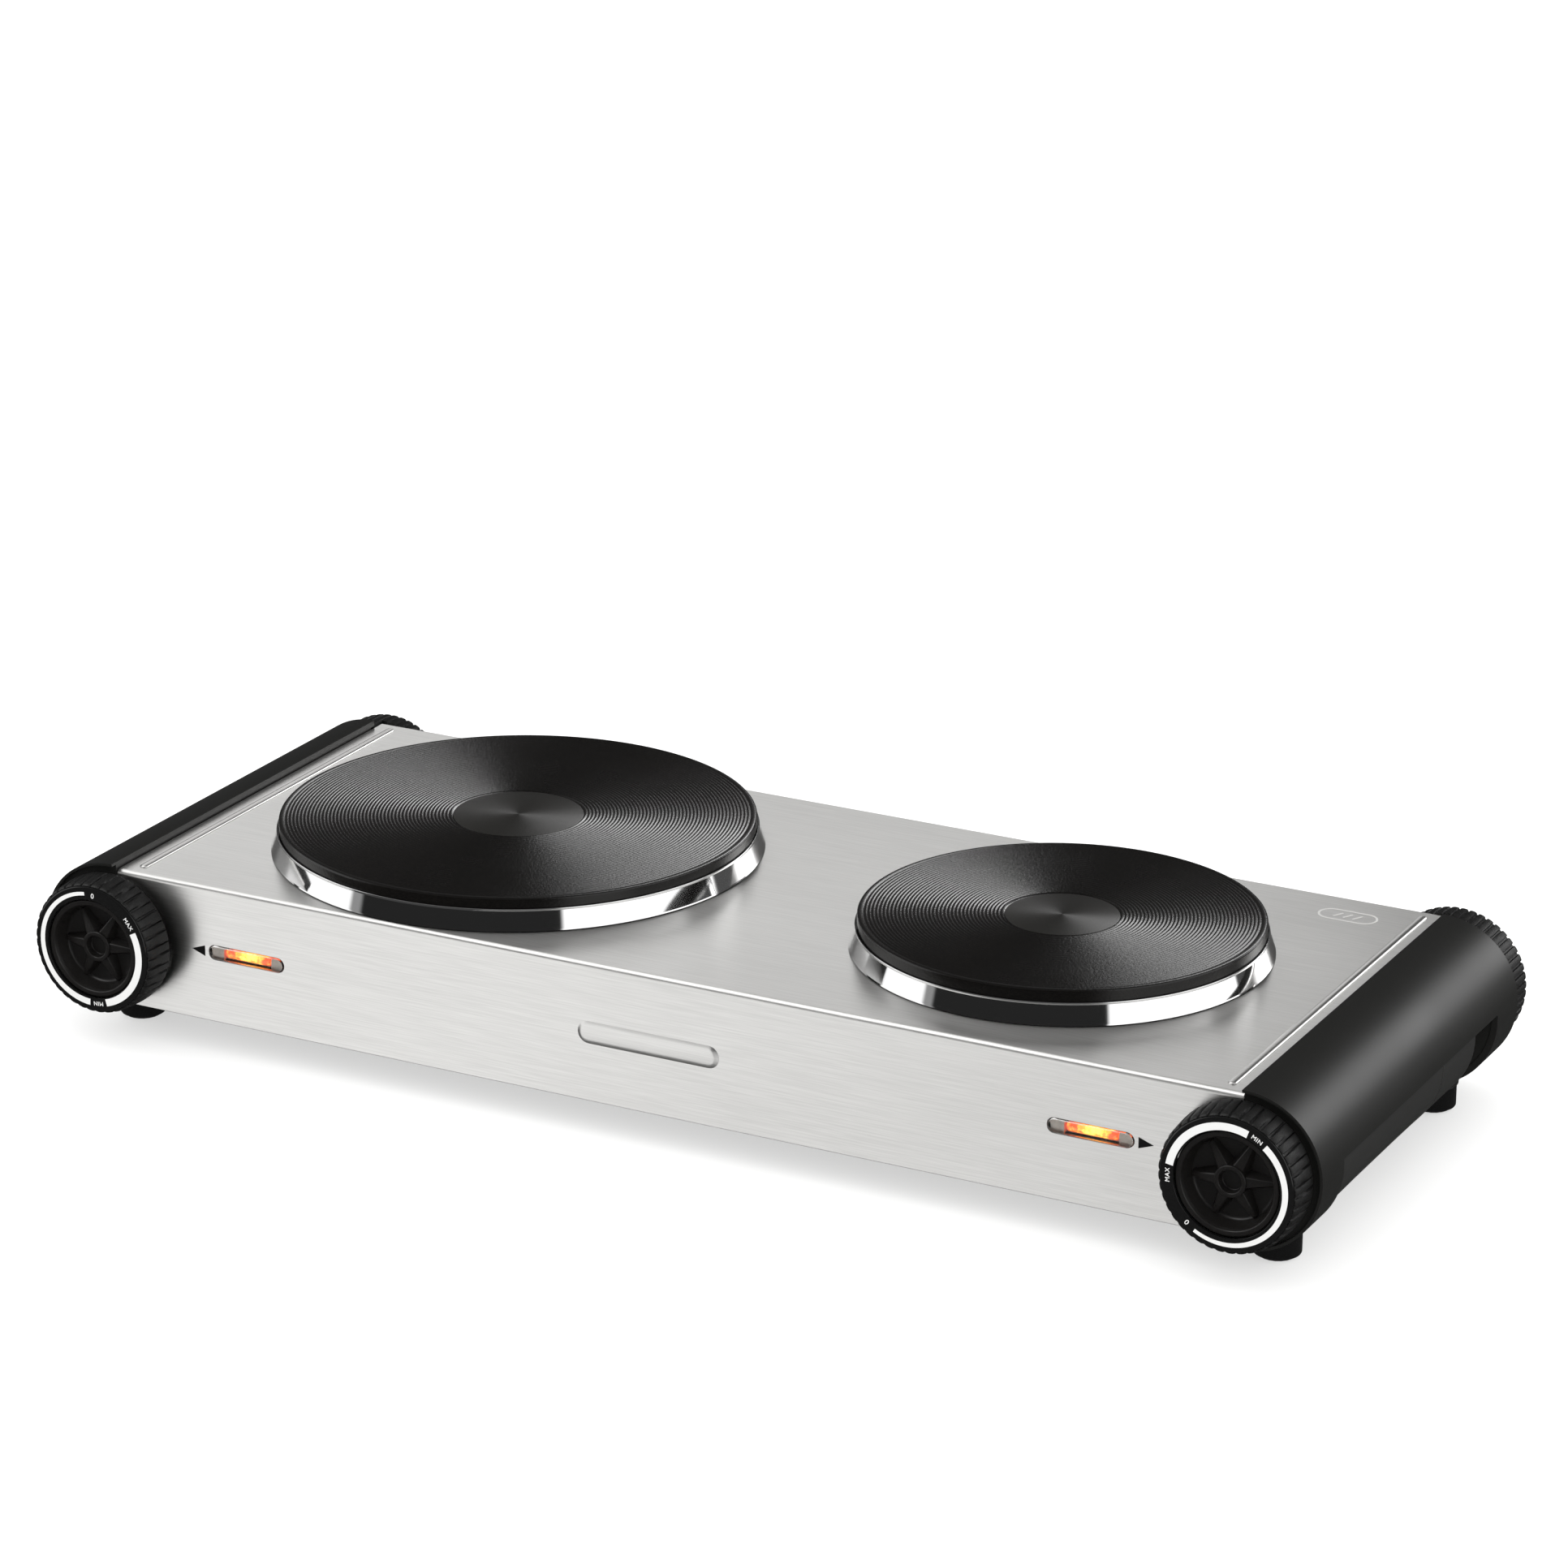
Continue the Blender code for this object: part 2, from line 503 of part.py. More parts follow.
def make_end_handle(side, word):
    """One moulding: thermostat chamber in front, arched grip over a finger hollow, closed rear end."""
    wall_radius = SHELL_RADIUS - SHELL_WALL
    handle = flat(f"{word}_end_handle", end_section(SHELL_RADIUS, side), SHELL_REAR_Y - SHELL_FRONT_Y,
                  (side * AXIS_X, (SHELL_REAR_Y + SHELL_FRONT_Y) / 2, AXIS_Z), FACES_FRONT, PLASTIC)
    shallow, deep = grip_cutouts(side)
    recess = end_section(wall_radius, side, 3 * MM)
    chamber = end_section(INNER_RADIUS - 2.2 * MM, side, 3 * MM)
    cut(handle,
        slab(f"{word}_front_recess", recess, SHELL_FRONT_Y - 2 * MM, FRONT_Y, side),
        slab(f"{word}_chamber", chamber, FRONT_Y + WALL, CHAMBER_END_Y - 2 * MM, side),
        slab(f"{word}_hollow", hollow_section(side), CHAMBER_END_Y, CUTOUT_END_Y, side),
        slab(f"{word}_deep_cutout", deep, CHAMBER_END_Y + 0.1 * MM, CUTOUT_END_Y - 0.5 * MM, side),
        slab(f"{word}_shallow_cutout", shallow, CUTOUT_START_Y, CHAMBER_END_Y + 1 * MM, side),
        slab(f"{word}_rear_pocket", recess, CUTOUT_END_Y + WALL, SHELL_REAR_Y - 2 * WALL, side),
        slab(f"{word}_rear_recess", recess, SHELL_REAR_Y - WALL, SHELL_REAR_Y + 2 * MM, side))
    disc = arc((0, 0), NOTCH_RADIUS - 0.4 * MM, pi / 2, 3 * pi / 2, 14)
    disc += [(1 * MM, -10 * MM), (1 * MM, 10 * MM)]
    pieces = [slab(f"{word}_front_disc", [(side * x, z) for x, z in disc], FRONT_Y + 0.2 * MM,
                   FRONT_Y + WALL - 0.2 * MM, side),
              rod(f"{word}_cap_boss", 6 * MM, (side * AXIS_X, SHELL_REAR_Y - WALL - 1 * MM, AXIS_Z),
                  (side * AXIS_X, SHELL_REAR_Y + 5.5 * MM, AXIS_Z), cutter=True, sides=20)]
    for number, y in enumerate(FOOT_YS):
        top, bottom = BODY_BOTTOM_Z - GAP, BODY_BOTTOM_Z - 3.1 * MM
        pieces.append(rod(f"{word}_foot_seat_{number}", FOOT_RADIUS + 0.6 * MM, (side * FOOT_X, y, bottom),
                          (side * FOOT_X, y, top), cutter=True, sides=24))
    for number, y in enumerate(SCREW_YS):
        reach = sorted((side * (SCREW_X - 6 * MM), side * (WALL_X + 0.5 * MM)))
        pieces.append(box(f"{word}_screw_block_{number}", (reach[0], y - 6 * MM, BASE_TOP_Z + GAP),
                          (reach[1], y + 6 * MM, BASE_TOP_Z + 16 * MM), cutter=True))
    join(handle, *pieces)
    cuts = [rod(f"{word}_shaft_hole", 5 * MM, (side * AXIS_X, FRONT_Y - 4 * MM, AXIS_Z),
                (side * AXIS_X, FRONT_Y + 6 * MM, AXIS_Z), cutter=True, sides=20)]
    for number, y in enumerate(FOOT_YS):
        cuts.append(rod(f"{word}_foot_hole_{number}", 4.3 * MM, (side * FOOT_X, y, BODY_BOTTOM_Z - 6 * MM),
                        (side * FOOT_X, y, BODY_BOTTOM_Z + 6 * MM), cutter=True, sides=16))
    for number, y in enumerate(SCREW_YS):
        cuts.append(rod(f"{word}_screw_hole_{number}", 1.9 * MM, (side * SCREW_X, y, BASE_TOP_Z - 2 * MM),
                        (side * SCREW_X, y, BASE_TOP_Z + 13 * MM), cutter=True, sides=12))
    cut(handle, *cuts)


def make_grip_liner(side, word):
    """The lower, inset half of the grip that the fingers hold from below."""
    hidden = SHELL_RADIUS - SHELL_WALL - GAP
    shown = SHELL_RADIUS - LINER_INSET
    inner = hidden - 2.2 * MM
    step = CUTOUT_TOP_ANGLE - radians(1.3)
    rim = grid_arc(hidden, LINER_TOP_ANGLE, step) + grid_arc(shown, step, LINER_LOW_ANGLE)
    rim += grid_arc(inner, LINER_TOP_ANGLE, LINER_LOW_ANGLE)[::-1]
    outline = [(side * x, z) for x, z in rim]
    start, end = CHAMBER_END_Y + GAP, FRONT_Y + 150 * MM
    flat(f"{word}_grip_liner", outline, end - start, (side * AXIS_X, (start + end) / 2, AXIS_Z),
         FACES_FRONT, PLASTIC)


def make_rear_cap(side, word):
    """A fixed wheel-shaped cap that closes the rear end of a handle."""
    depth = REAR_Y + CAP_REACH - (SHELL_REAR_Y + GAP)
    dish = depth - 3 * MM
    profile = [(0, dish), (17.5 * MM, dish), (19.5 * MM, depth), (CAP_RADIUS - 1.2 * MM, depth),
               (CAP_RADIUS, depth - 1.2 * MM), (CAP_RADIUS, 0), (6.3 * MM, 0),
               (6.3 * MM, 6 * MM), (0, 6 * MM)]
    cap = turned(f"{word}_rear_cap", profile, (side * AXIS_X, SHELL_REAR_Y + GAP, AXIS_Z), PLASTIC,
                 FACES_REAR, steps=32)
    inner = sorted((side * 180 * MM, side * (WALL_X + 0.4 * MM)))
    cut(cap, box(f"{word}_cap_relief", (inner[0], REAR_Y - 20 * MM, 0),
                 (inner[1], REAR_Y + GAP, TOP_Z + 20 * MM), cutter=True))


# ---------------------------------------------------------------- knobs and thermostats

def make_knob(side, word):
    """A hollow-faced knob. Heights are measured forward from the steel front."""
    front, back = KNOB_REACH, KNOB_BACK
    profile = [(0, HUB_FACE), (HUB_RADIUS, HUB_FACE), (HUB_RADIUS, BOWL_FLOOR),
               (BOWL_RADIUS - 1 * MM, BOWL_FLOOR), (BOWL_RADIUS, 15.2 * MM),
               (DIAL_INNER - 0.8 * MM, front - 0.6 * MM), (DIAL_INNER, front - 0.6 * MM),
               (DIAL_INNER, front - 1.4 * MM), (DIAL_OUTER, front - 1.4 * MM), (DIAL_OUTER, front),
               (KNOB_FACE_RADIUS - 0.6 * MM, front), (KNOB_FACE_RADIUS, front - 0.8 * MM),
               (KNOB_RADIUS, back), (24.6 * MM, back), (23.6 * MM, 6.4 * MM), (9 * MM, 6.4 * MM),
               (9 * MM, back), (0, back)]
    knob = turned(f"{word}_knob", profile, (side * AXIS_X, FRONT_Y, AXIS_Z), PLASTIC, FACES_FRONT, steps=30)
    x = side * AXIS_X
    low, high = BOWL_FLOOR - 1 * MM, BOWL_FLOOR + 3.2 * MM
    for number in range(SPOKES // 2):
        spoke = box(f"{word}_spoke_{number}", (x - BOWL_RADIUS, FRONT_Y - high, AXIS_Z - 1.1 * MM),
                    (x + BOWL_RADIUS, FRONT_Y - low, AXIS_Z + 1.1 * MM), cutter=True)
        spoke.rotation_euler.y = number * 2 * pi / SPOKES
        join(knob, spoke)
    cut(knob,
        rod(f"{word}_hub_bore", 4.2 * MM, (x, FRONT_Y - 20 * MM, AXIS_Z), (x, FRONT_Y - 11.9 * MM, AXIS_Z),
            cutter=True, sides=18),
        rod(f"{word}_shaft_bore", SHAFT_RADIUS + GAP, (x, FRONT_Y - 10.9 * MM, AXIS_Z), (x, FRONT_Y, AXIS_Z),
            cutter=True, sides=18))


def make_dial_ring(side, word):
    """The glossy ring that carries the printed scale."""
    low = KNOB_REACH - 1.4 * MM + GAP
    high = KNOB_REACH - 0.3 * MM
    outer, inner = DIAL_OUTER - GAP, DIAL_INNER + GAP
    profile = [(outer - 0.2 * MM, high), (outer, high - 0.2 * MM), (outer, low), (inner, low), (inner, high)]
    turned(f"{word}_dial_ring", profile, (side * AXIS_X, FRONT_Y, AXIS_Z), GLOSS, FACES_FRONT, steps=28)


def make_shaft(side, word):
    """The thermostat's spindle, with a flat that drives the knob."""
    x = side * AXIS_X
    shaft = rod(f"{word}_knob_shaft", SHAFT_RADIUS, (x, FRONT_Y - 10.6 * MM, AXIS_Z),
                (x, FRONT_Y + 21.5 * MM, AXIS_Z), ZINC, sides=24)
    cut(shaft, box(f"{word}_shaft_flat", (x - 5 * MM, FRONT_Y - 12 * MM, AXIS_Z + 2.3 * MM),
                   (x + 5 * MM, FRONT_Y - 2.4 * MM, AXIS_Z + 5 * MM), cutter=True))


def make_knob_clip(side, word):
    """A spring leaf between the spindle's flat and the knob's bore."""
    x = side * AXIS_X
    box(f"{word}_knob_clip", (x - 0.8 * MM, FRONT_Y - 9.6 * MM, AXIS_Z + 2.6 * MM),
        (x + 0.8 * MM, FRONT_Y - 4 * MM, AXIS_Z + 2.95 * MM), ZINC)


def make_thermostat(side, word):
    x = side * AXIS_X
    back = FRONT_Y + 26 * MM
    body = box(f"{word}_thermostat", (x - 13 * MM, FRONT_Y + 4.3 * MM, AXIS_Z - 12.5 * MM),
               (x + 13 * MM, back, AXIS_Z + 12.5 * MM), CERAMIC)
    join(body, rod(f"{word}_thermostat_neck", 4.6 * MM, (x, FRONT_Y - 1 * MM, AXIS_Z),
                   (x, FRONT_Y + 6 * MM, AXIS_Z), cutter=True, sides=24))
    cut(body, rod(f"{word}_thermostat_bore", SHAFT_RADIUS + GAP, (x, FRONT_Y - 5 * MM, AXIS_Z),
                  (x, FRONT_Y + 22 * MM, AXIS_Z), cutter=True, sides=24))


def make_thermostat_bracket(side, word):
    reach = sorted((side * 219 * MM, side * 253 * MM))
    plate = box(f"{word}_thermostat_bracket", (reach[0], FRONT_Y + WALL + GAP, AXIS_Z - 17 * MM),
                (reach[1], FRONT_Y + WALL + 1.5 * MM, AXIS_Z + 17 * MM), ZINC)
    x = side * AXIS_X
    cut(plate, rod(f"{word}_bracket_hole", 5 * MM, (x, FRONT_Y, AXIS_Z), (x, FRONT_Y + 8 * MM, AXIS_Z),
                   cutter=True, sides=24))


# ---------------------------------------------------------------- lamps

def make_lamp(side, word):
    """A clear lens in the front slot, with a neon lamp in the pocket behind it."""
    x = side * LAMP_X
    nose = pill(SLOT_LENGTH - 0.6 * MM, SLOT_HEIGHT - 0.6 * MM)
    front, flange = FRONT_Y - 0.7 * MM, FRONT_Y + SHEET + GAP
    lens = flat(f"{word}_lamp_lens", nose, 2.4 * MM, (x, front + 1.2 * MM, LAMP_Z), FACES_FRONT, CLEAR)
    join(lens, flat(f"{word}_lens_flange", pill(39 * MM, 10 * MM), 6.4 * MM,
                    (x, flange + 3.2 * MM, LAMP_Z), FACES_FRONT, cutter=True))
    cut(lens, flat(f"{word}_lens_pocket", pill(30 * MM, 3.8 * MM, steps=5), 12 * MM,
                   (x, FRONT_Y + 6.5 * MM, LAMP_Z), FACES_FRONT, cutter=True), solver="MANIFOLD")
    radius, half = 1.5 * MM, 11 * MM
    dome = arc((0, half - radius), radius, pi / 2, 0, 4) + arc((0, radius - half), radius, 0, -pi / 2, 4)
    dome = [(max(r, 0) if r > MERGE else 0, h) for r, h in dome]
    turned(f"{word}_neon_lamp", dome, (x, FRONT_Y + 2.6 * MM, LAMP_Z), GLOW, (0, pi / 2, 0), steps=12)


# ---------------------------------------------------------------- feet, screws and mains parts

def make_foot(side, word, y, row):
    top = BODY_BOTTOM_Z - 3.1 * MM - GAP
    profile = [(0, BODY_BOTTOM_Z + 4.5 * MM), (3.9 * MM, BODY_BOTTOM_Z + 4.5 * MM), (3.9 * MM, top),
               (FOOT_RADIUS, top), (FOOT_RADIUS, 1.9 * MM), (FOOT_RADIUS - 0.7 * MM, 1.2 * MM),
               (PAD_RADIUS + GAP, 1.2 * MM), (PAD_RADIUS + GAP, 2.8 * MM), (0, 2.8 * MM)]
    turned(f"{row}_{word}_foot", profile, (side * FOOT_X, y, 0), PLASTIC, steps=18)
    rod(f"{row}_{word}_foot_pad", PAD_RADIUS, (side * FOOT_X, y, 0), (side * FOOT_X, y, 2.5 * MM), RUBBER,
        sides=20)


def make_base_screw(side, word, y, row):
    """A pan-head screw from below, through the base and into the handle."""
    head_top = BASE_TOP_Z - BASE_SHEET - GAP
    profile = [(0, BASE_TOP_Z + 12 * MM), (1.6 * MM, BASE_TOP_Z + 11 * MM), (1.6 * MM, head_top),
               (3.6 * MM, head_top), (3.6 * MM, head_top - 1.4 * MM), (2.4 * MM, head_top - 2.2 * MM),
               (0, head_top - 2.2 * MM)]
    turned(f"{row}_{word}_base_screw", profile, (side * SCREW_X, y, 0), ZINC, steps=12)


def make_terminal_block():
    low = BASE_TOP_Z + GAP
    block = box("terminal_block", (-18 * MM, TERMINAL_Y - 10 * MM, low), (18 * MM, TERMINAL_Y + 10 * MM,
                low + 16 * MM), CERAMIC)
    for way in (-1, 0, 1):
        x = way * 11 * MM
        cut(block, rod(f"terminal_bore_{way}", 2 * MM, (x, TERMINAL_Y - 14 * MM, low + 7 * MM),
                       (x, TERMINAL_Y + 14 * MM, low + 7 * MM), cutter=True, sides=16))


def make_earth_screw():
    head_low = BASE_TOP_Z + GAP
    profile = [(0, head_low + 2.4 * MM), (2.6 * MM, head_low + 2.4 * MM), (3.6 * MM, head_low + 1.6 * MM),
               (3.6 * MM, head_low), (1.8 * MM, head_low), (1.8 * MM, head_low - 4 * MM),
               (0, head_low - 4 * MM)]
    turned("earth_screw", profile, (-34 * MM, TERMINAL_Y, 0), ZINC, steps=12)


def make_cord_bush():
    """The inlet bush in the rear wall that the mains lead would pass through."""
    outside, inside = GAP, -SHEET - GAP
    profile = [(5.2 * MM, outside + 6 * MM), (6.4 * MM, outside + 5 * MM), (7.4 * MM, outside + 2 * MM),
               (9.4 * MM, outside + 1.6 * MM), (9.4 * MM, outside), (7 * MM, outside), (7 * MM, inside),
               (8.8 * MM, inside), (8.8 * MM, inside - 2 * MM), (3.6 * MM, inside - 2 * MM),
               (3.6 * MM, outside + 6 * MM)]
    turned("cord_bush", profile, (CORD_X, REAR_Y, CORD_Z), RUBBER, FACES_REAR, steps=20)


def make_wires(side, word, burner):
    """Supply, element and lamp wires of one burner, inside the body."""
    def at(x, y, z):
        """x outward from the middle, y back from the front face, z down from the steel top, in mm."""
        return (side * x * MM, FRONT_Y + y * MM, TOP_Z - z * MM)

    wire(f"{word}_supply_wire", [at(11, 149.6, 46.9), at(12, 141, 46.9), at(40, 128, 46), at(110, 120, 44),
                                 at(185, 100, 42), at(212, 62, 38), at(214, 36, 33), at(218, 21, 29),
                                 at(225.5, 20, 28)], 1.2 * MM, WIRE_SKIN)
    pin_x = (abs(burner["x"]) + burner["terminal"]) / MM
    pin_y = (PLATE_Y - PIN_SPREAD - FRONT_Y) / MM
    wire(f"{word}_element_wire", [at(225.5, 16, 36), at(216, 18, 38), at(200, 36, 40),
                                  at(pin_x + 8, pin_y - 20, 38), at(pin_x, pin_y, 28),
                                  at(pin_x, pin_y, 20), at(pin_x, pin_y, 14.4)], 1.2 * MM, WIRE_SKIN)
    wire(f"{word}_lamp_wire", [at(225.6, 10, 22), at(214, 12, 24), at(202, 15, 26), at(195, 13, 26),
                               at(192.4, 9, 26), at(192, 4.5, 26)], 0.8 * MM, WIRE_SKIN)


# ---------------------------------------------------------------- the whole object

make_top_cover()
make_base_plate()
for burner_data in (LARGE, SMALL):
    make_hot_plate(burner_data)
    make_trim_ring(burner_data)
    make_heating_element(burner_data)
    make_element_cover(burner_data)
    make_clamp_bridge(burner_data)
    make_stud_and_nut(burner_data)
for sign, hand, own_burner in ((-1, "left", LARGE), (1, "right", SMALL)):
    make_end_handle(sign, hand)
    make_grip_liner(sign, hand)
    make_rear_cap(sign, hand)
    make_knob(sign, hand)
    make_dial_ring(sign, hand)
    make_shaft(sign, hand)
    make_knob_clip(sign, hand)
    make_thermostat(sign, hand)
    make_thermostat_bracket(sign, hand)
    make_lamp(sign, hand)
    make_wires(sign, hand, own_burner)
    for foot_y, end in zip(FOOT_YS, ("front", "rear")):
        make_foot(sign, hand, foot_y, end)
    for screw_y, end in zip(SCREW_YS, ("front", "rear")):
        make_base_screw(sign, hand, screw_y, end)
make_terminal_block()
make_earth_screw()
make_cord_bush()
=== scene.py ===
"""Looks of the twin cast-iron hot plate.

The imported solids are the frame. Finer meshes stand for the pieces that show, at the same sizes and places,
and every piece gets a procedural material. Metres, +Z is up, -Y is the front with the knobs.
"""
import json
from math import acos, asin, ceil, cos, floor, pi, radians, sin, tan

import bmesh
import bpy
from mathutils import Euler, Matrix, Vector


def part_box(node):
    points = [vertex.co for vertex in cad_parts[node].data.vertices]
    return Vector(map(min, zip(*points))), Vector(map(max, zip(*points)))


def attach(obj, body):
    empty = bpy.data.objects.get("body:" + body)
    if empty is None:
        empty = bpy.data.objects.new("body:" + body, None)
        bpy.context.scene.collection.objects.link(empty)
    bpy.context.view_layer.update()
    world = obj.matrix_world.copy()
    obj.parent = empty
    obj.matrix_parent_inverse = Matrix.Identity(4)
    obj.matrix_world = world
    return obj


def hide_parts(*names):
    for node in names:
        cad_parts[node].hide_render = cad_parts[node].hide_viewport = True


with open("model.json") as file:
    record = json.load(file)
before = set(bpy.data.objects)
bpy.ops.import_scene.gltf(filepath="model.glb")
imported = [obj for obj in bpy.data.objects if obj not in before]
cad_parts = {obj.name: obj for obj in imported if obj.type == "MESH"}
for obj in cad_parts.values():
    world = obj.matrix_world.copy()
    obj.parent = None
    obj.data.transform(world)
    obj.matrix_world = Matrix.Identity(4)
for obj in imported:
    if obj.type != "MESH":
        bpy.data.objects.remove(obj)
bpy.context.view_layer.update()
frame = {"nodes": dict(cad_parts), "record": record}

MM = 0.001
GAP = 0.3 * MM
CHASSIS = "chassis"
SIDES = {"left": -1, "right": 1}

# Places and sizes of the whole, from the frame
COVER_LOW, COVER_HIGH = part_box("top_cover")
HALF_LENGTH = COVER_HIGH.x
FRONT_Y, REAR_Y = COVER_LOW.y, COVER_HIGH.y
BODY_DEPTH = REAR_Y - FRONT_Y
MIDDLE_Y = (FRONT_Y + REAR_Y) / 2
BODY_BOTTOM_Z = COVER_LOW.z
TOP_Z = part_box("large_trim_ring")[0].z - GAP
KNOB_LOW, KNOB_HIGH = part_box("right_knob")
AXIS_X = (KNOB_LOW.x + KNOB_HIGH.x) / 2
AXIS_Z = (KNOB_LOW.z + KNOB_HIGH.z) / 2
SHELL_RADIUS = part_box("right_end_handle")[1].x - AXIS_X
SHELL_FRONT_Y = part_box("right_end_handle")[0].y
CAP_LOW, CAP_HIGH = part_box("right_rear_cap")

# Steel body
SHEET = 0.8 * MM
FOLD_RADIUS = 2.2 * MM
NOTCH_RADIUS = 22 * MM              # round the knob, in the front wall
REAR_NOTCH_RADIUS = 6.8 * MM        # round the rear cap's boss
CORD_RADIUS = 7.3 * MM
CORD_Z = TOP_Z - 36 * MM
SLOT_LENGTH = 34 * MM
SLOT_HEIGHT = 5.6 * MM
LAMP_X = 178.8 * MM
LAMP_Z = TOP_Z - 26.6 * MM
BEAD_X = HALF_LENGTH - 7.7 * MM
BEAD_LENGTH, BEAD_WIDTH, BEAD_HEIGHT = 186 * MM, 3.6 * MM, 0.8 * MM
BADGE_X, BADGE_LENGTH, BADGE_HEIGHT = -1.8 * MM, 60 * MM, 9 * MM
POINTER_BASE_X, POINTER_TIP_X, POINTER_HALF = 197.6 * MM, 203.6 * MM, 2.2 * MM
TOP_MARK_X, TOP_MARK_Y = 204 * MM, FRONT_Y + 179 * MM
TOP_MARK_LENGTH, TOP_MARK_WIDTH, TOP_MARK_LINE = 24 * MM, 11 * MM, 0.9 * MM
SUNK = 0.3 * MM                     # how far a raised mark reaches into the sheet

# Burners: heights are measured up from the steel top
HUB_RADII = {"large": 26 * MM, "small": 22 * MM}
HOLE_INSET = 4 * MM
LIP_Z = 8.5 * MM
RING_FLARE = 3.2 * MM
LEDGE_REACH = 4.5 * MM              # how far the ring reaches in under the plate
GROOVE_PITCH = 1.42 * MM
GROOVE_DEPTH = 0.34 * MM
RIM_BAND = 1.9 * MM                 # plain rim outside the grooves
HUB_DROP = 0.25 * MM
HUB_SEAT = 0.6 * MM
SKIRT_INSET = 6 * MM
PLATE_THICKNESS = 8 * MM

# End handles, round the knob axis
SHELL_WALL = 2.5 * MM
RIM_WALL = 1.1 * MM
SHELL_REAR_Y = REAR_Y - 7 * MM
WALL_X = HALF_LENGTH + GAP
INNER_RADIUS = SHELL_RADIUS - SHELL_WALL + GAP
CUTOUT_START_Y = FRONT_Y + 17 * MM
CUTOUT_END_Y = FRONT_Y + 170 * MM
CUTOUT_TOP_ANGLE = radians(5.5)
CHAMBER_END_Y = FRONT_Y + 32 * MM
LINER_END_Y = FRONT_Y + 150 * MM
LINER_JOINT_Y = FRONT_Y + 117 * MM
LINER_JOINT_HALF = 0.35 * MM        # half the gap between the two strips
LINER_INSET = 1.4 * MM
FLOOR_X = 253 * MM
ARC_STEP = radians(3)
FOOT_X = 243 * MM
FOOT_YS = (FRONT_Y + 22.5 * MM, FRONT_Y + 175 * MM)
FOOT_RADIUS = 9 * MM
FOOT_TOP_Z = BODY_BOTTOM_Z - 3.1 * MM
RECESS_RADIUS, RECESS_TOP_Z = 7.2 * MM, 2.8 * MM    # where the rubber pad sits

# Knobs: heights are measured forward from the steel front
KNOB_RADIUS = 27.3 * MM
KNOB_BACK = 3.2 * MM
KNOB_FACE = 17.4 * MM
KNOB_RIBS = 40
CAP_RIBS = 48
BARREL_INSIDE = 24.6 * MM
BARREL_MOUTH = 25.75 * MM           # where the barrel's face ends and the scale ring starts
RING_INSIDE, RING_OUTSIDE = 20.3 * MM, 25.6 * MM
RING_BACK = 15.6 * MM
STAR_HUB = 5.9 * MM
STAR_REACH = 16.4 * MM
PRINT = 0.04 * MM                   # thickness of printed marks
TEXT_RADIUS = 22.3 * MM
SCALE_RADIUS = 23.5 * MM
ZERO_MARKS = {"left": 86, "right": -130}        # degrees, at rest
SPOKE_TURNS = {"left": 0, "right": 4}

# Lamps: depths are measured back from the steel front
TRAY_BACK, TRAY_FACE = 7 * MM, 6 * MM
TRAY_MARGIN = 2 * MM
TUBE_RADIUS, TUBE_HALF, TUBE_DEPTH = 1.9 * MM, 10 * MM, 3.6 * MM

FACES_FRONT = (pi / 2, 0, 0)
FACES_REAR = (-pi / 2, 0, 0)
ALONG_X = (pi / 2, 0, pi / 2)


# ---------------------------------------------------------------- materials

NOISE_LOW, NOISE_HIGH = 0.3, 0.7    # where nearly all of a noise lies
NOISE_RANGE = (NOISE_LOW, NOISE_HIGH)


def link(tree, source, target):
    tree.links.new(source, target)


def math_of(tree, operation, *inputs):
    """A math node over sockets and numbers."""
    node = tree.nodes.new("ShaderNodeMath")
    node.operation = operation
    for socket, given in zip(node.inputs, inputs):
        if isinstance(given, (int, float)):
            socket.default_value = given
        else:
            link(tree, given, socket)
    return node.outputs[0]


def range_of(tree, source, source_range, low, high, curve="LINEAR"):
    """source_range of a socket, spread from low to high."""
    spread = tree.nodes.new("ShaderNodeMapRange")
    spread.interpolation_type = curve
    spread.inputs["From Min"].default_value, spread.inputs["From Max"].default_value = source_range
    spread.inputs["To Min"].default_value = low
    spread.inputs["To Max"].default_value = high
    link(tree, source, spread.inputs["Value"])
    return spread.outputs["Result"]


def noise_of(tree, stretch, detail=4.0):
    """A noise texture laid in the piece's own space, stretched evenly or per axis (cycles per metre)."""
    place = tree.nodes.new("ShaderNodeTexCoord")
    mapping = tree.nodes.new("ShaderNodeMapping")
    mapping.inputs["Scale"].default_value = stretch if isinstance(stretch, tuple) else (stretch,) * 3
    noise = tree.nodes.new("ShaderNodeTexNoise")
    noise.inputs["Scale"].default_value = 1
    noise.inputs["Detail"].default_value = detail
    link(tree, place.outputs["Object"], mapping.inputs["Vector"])
    link(tree, mapping.outputs["Vector"], noise.inputs["Vector"])
    return noise.outputs["Fac"]


def ramp_of(tree, source, colours):
    """A colour ramp over evenly spread colours, across the usual range of a noise."""
    ramp = tree.nodes.new("ShaderNodeValToRGB")
    elements = ramp.color_ramp.elements
    while len(elements) < len(colours):
        elements.new(0.5)
    for i, (element, colour) in enumerate(zip(elements, colours)):
        element.position = NOISE_LOW + (NOISE_HIGH - NOISE_LOW) * i / (len(colours) - 1)
        element.color = (*colour, 1)
    link(tree, source, ramp.inputs["Fac"])
    return ramp.outputs["Color"]


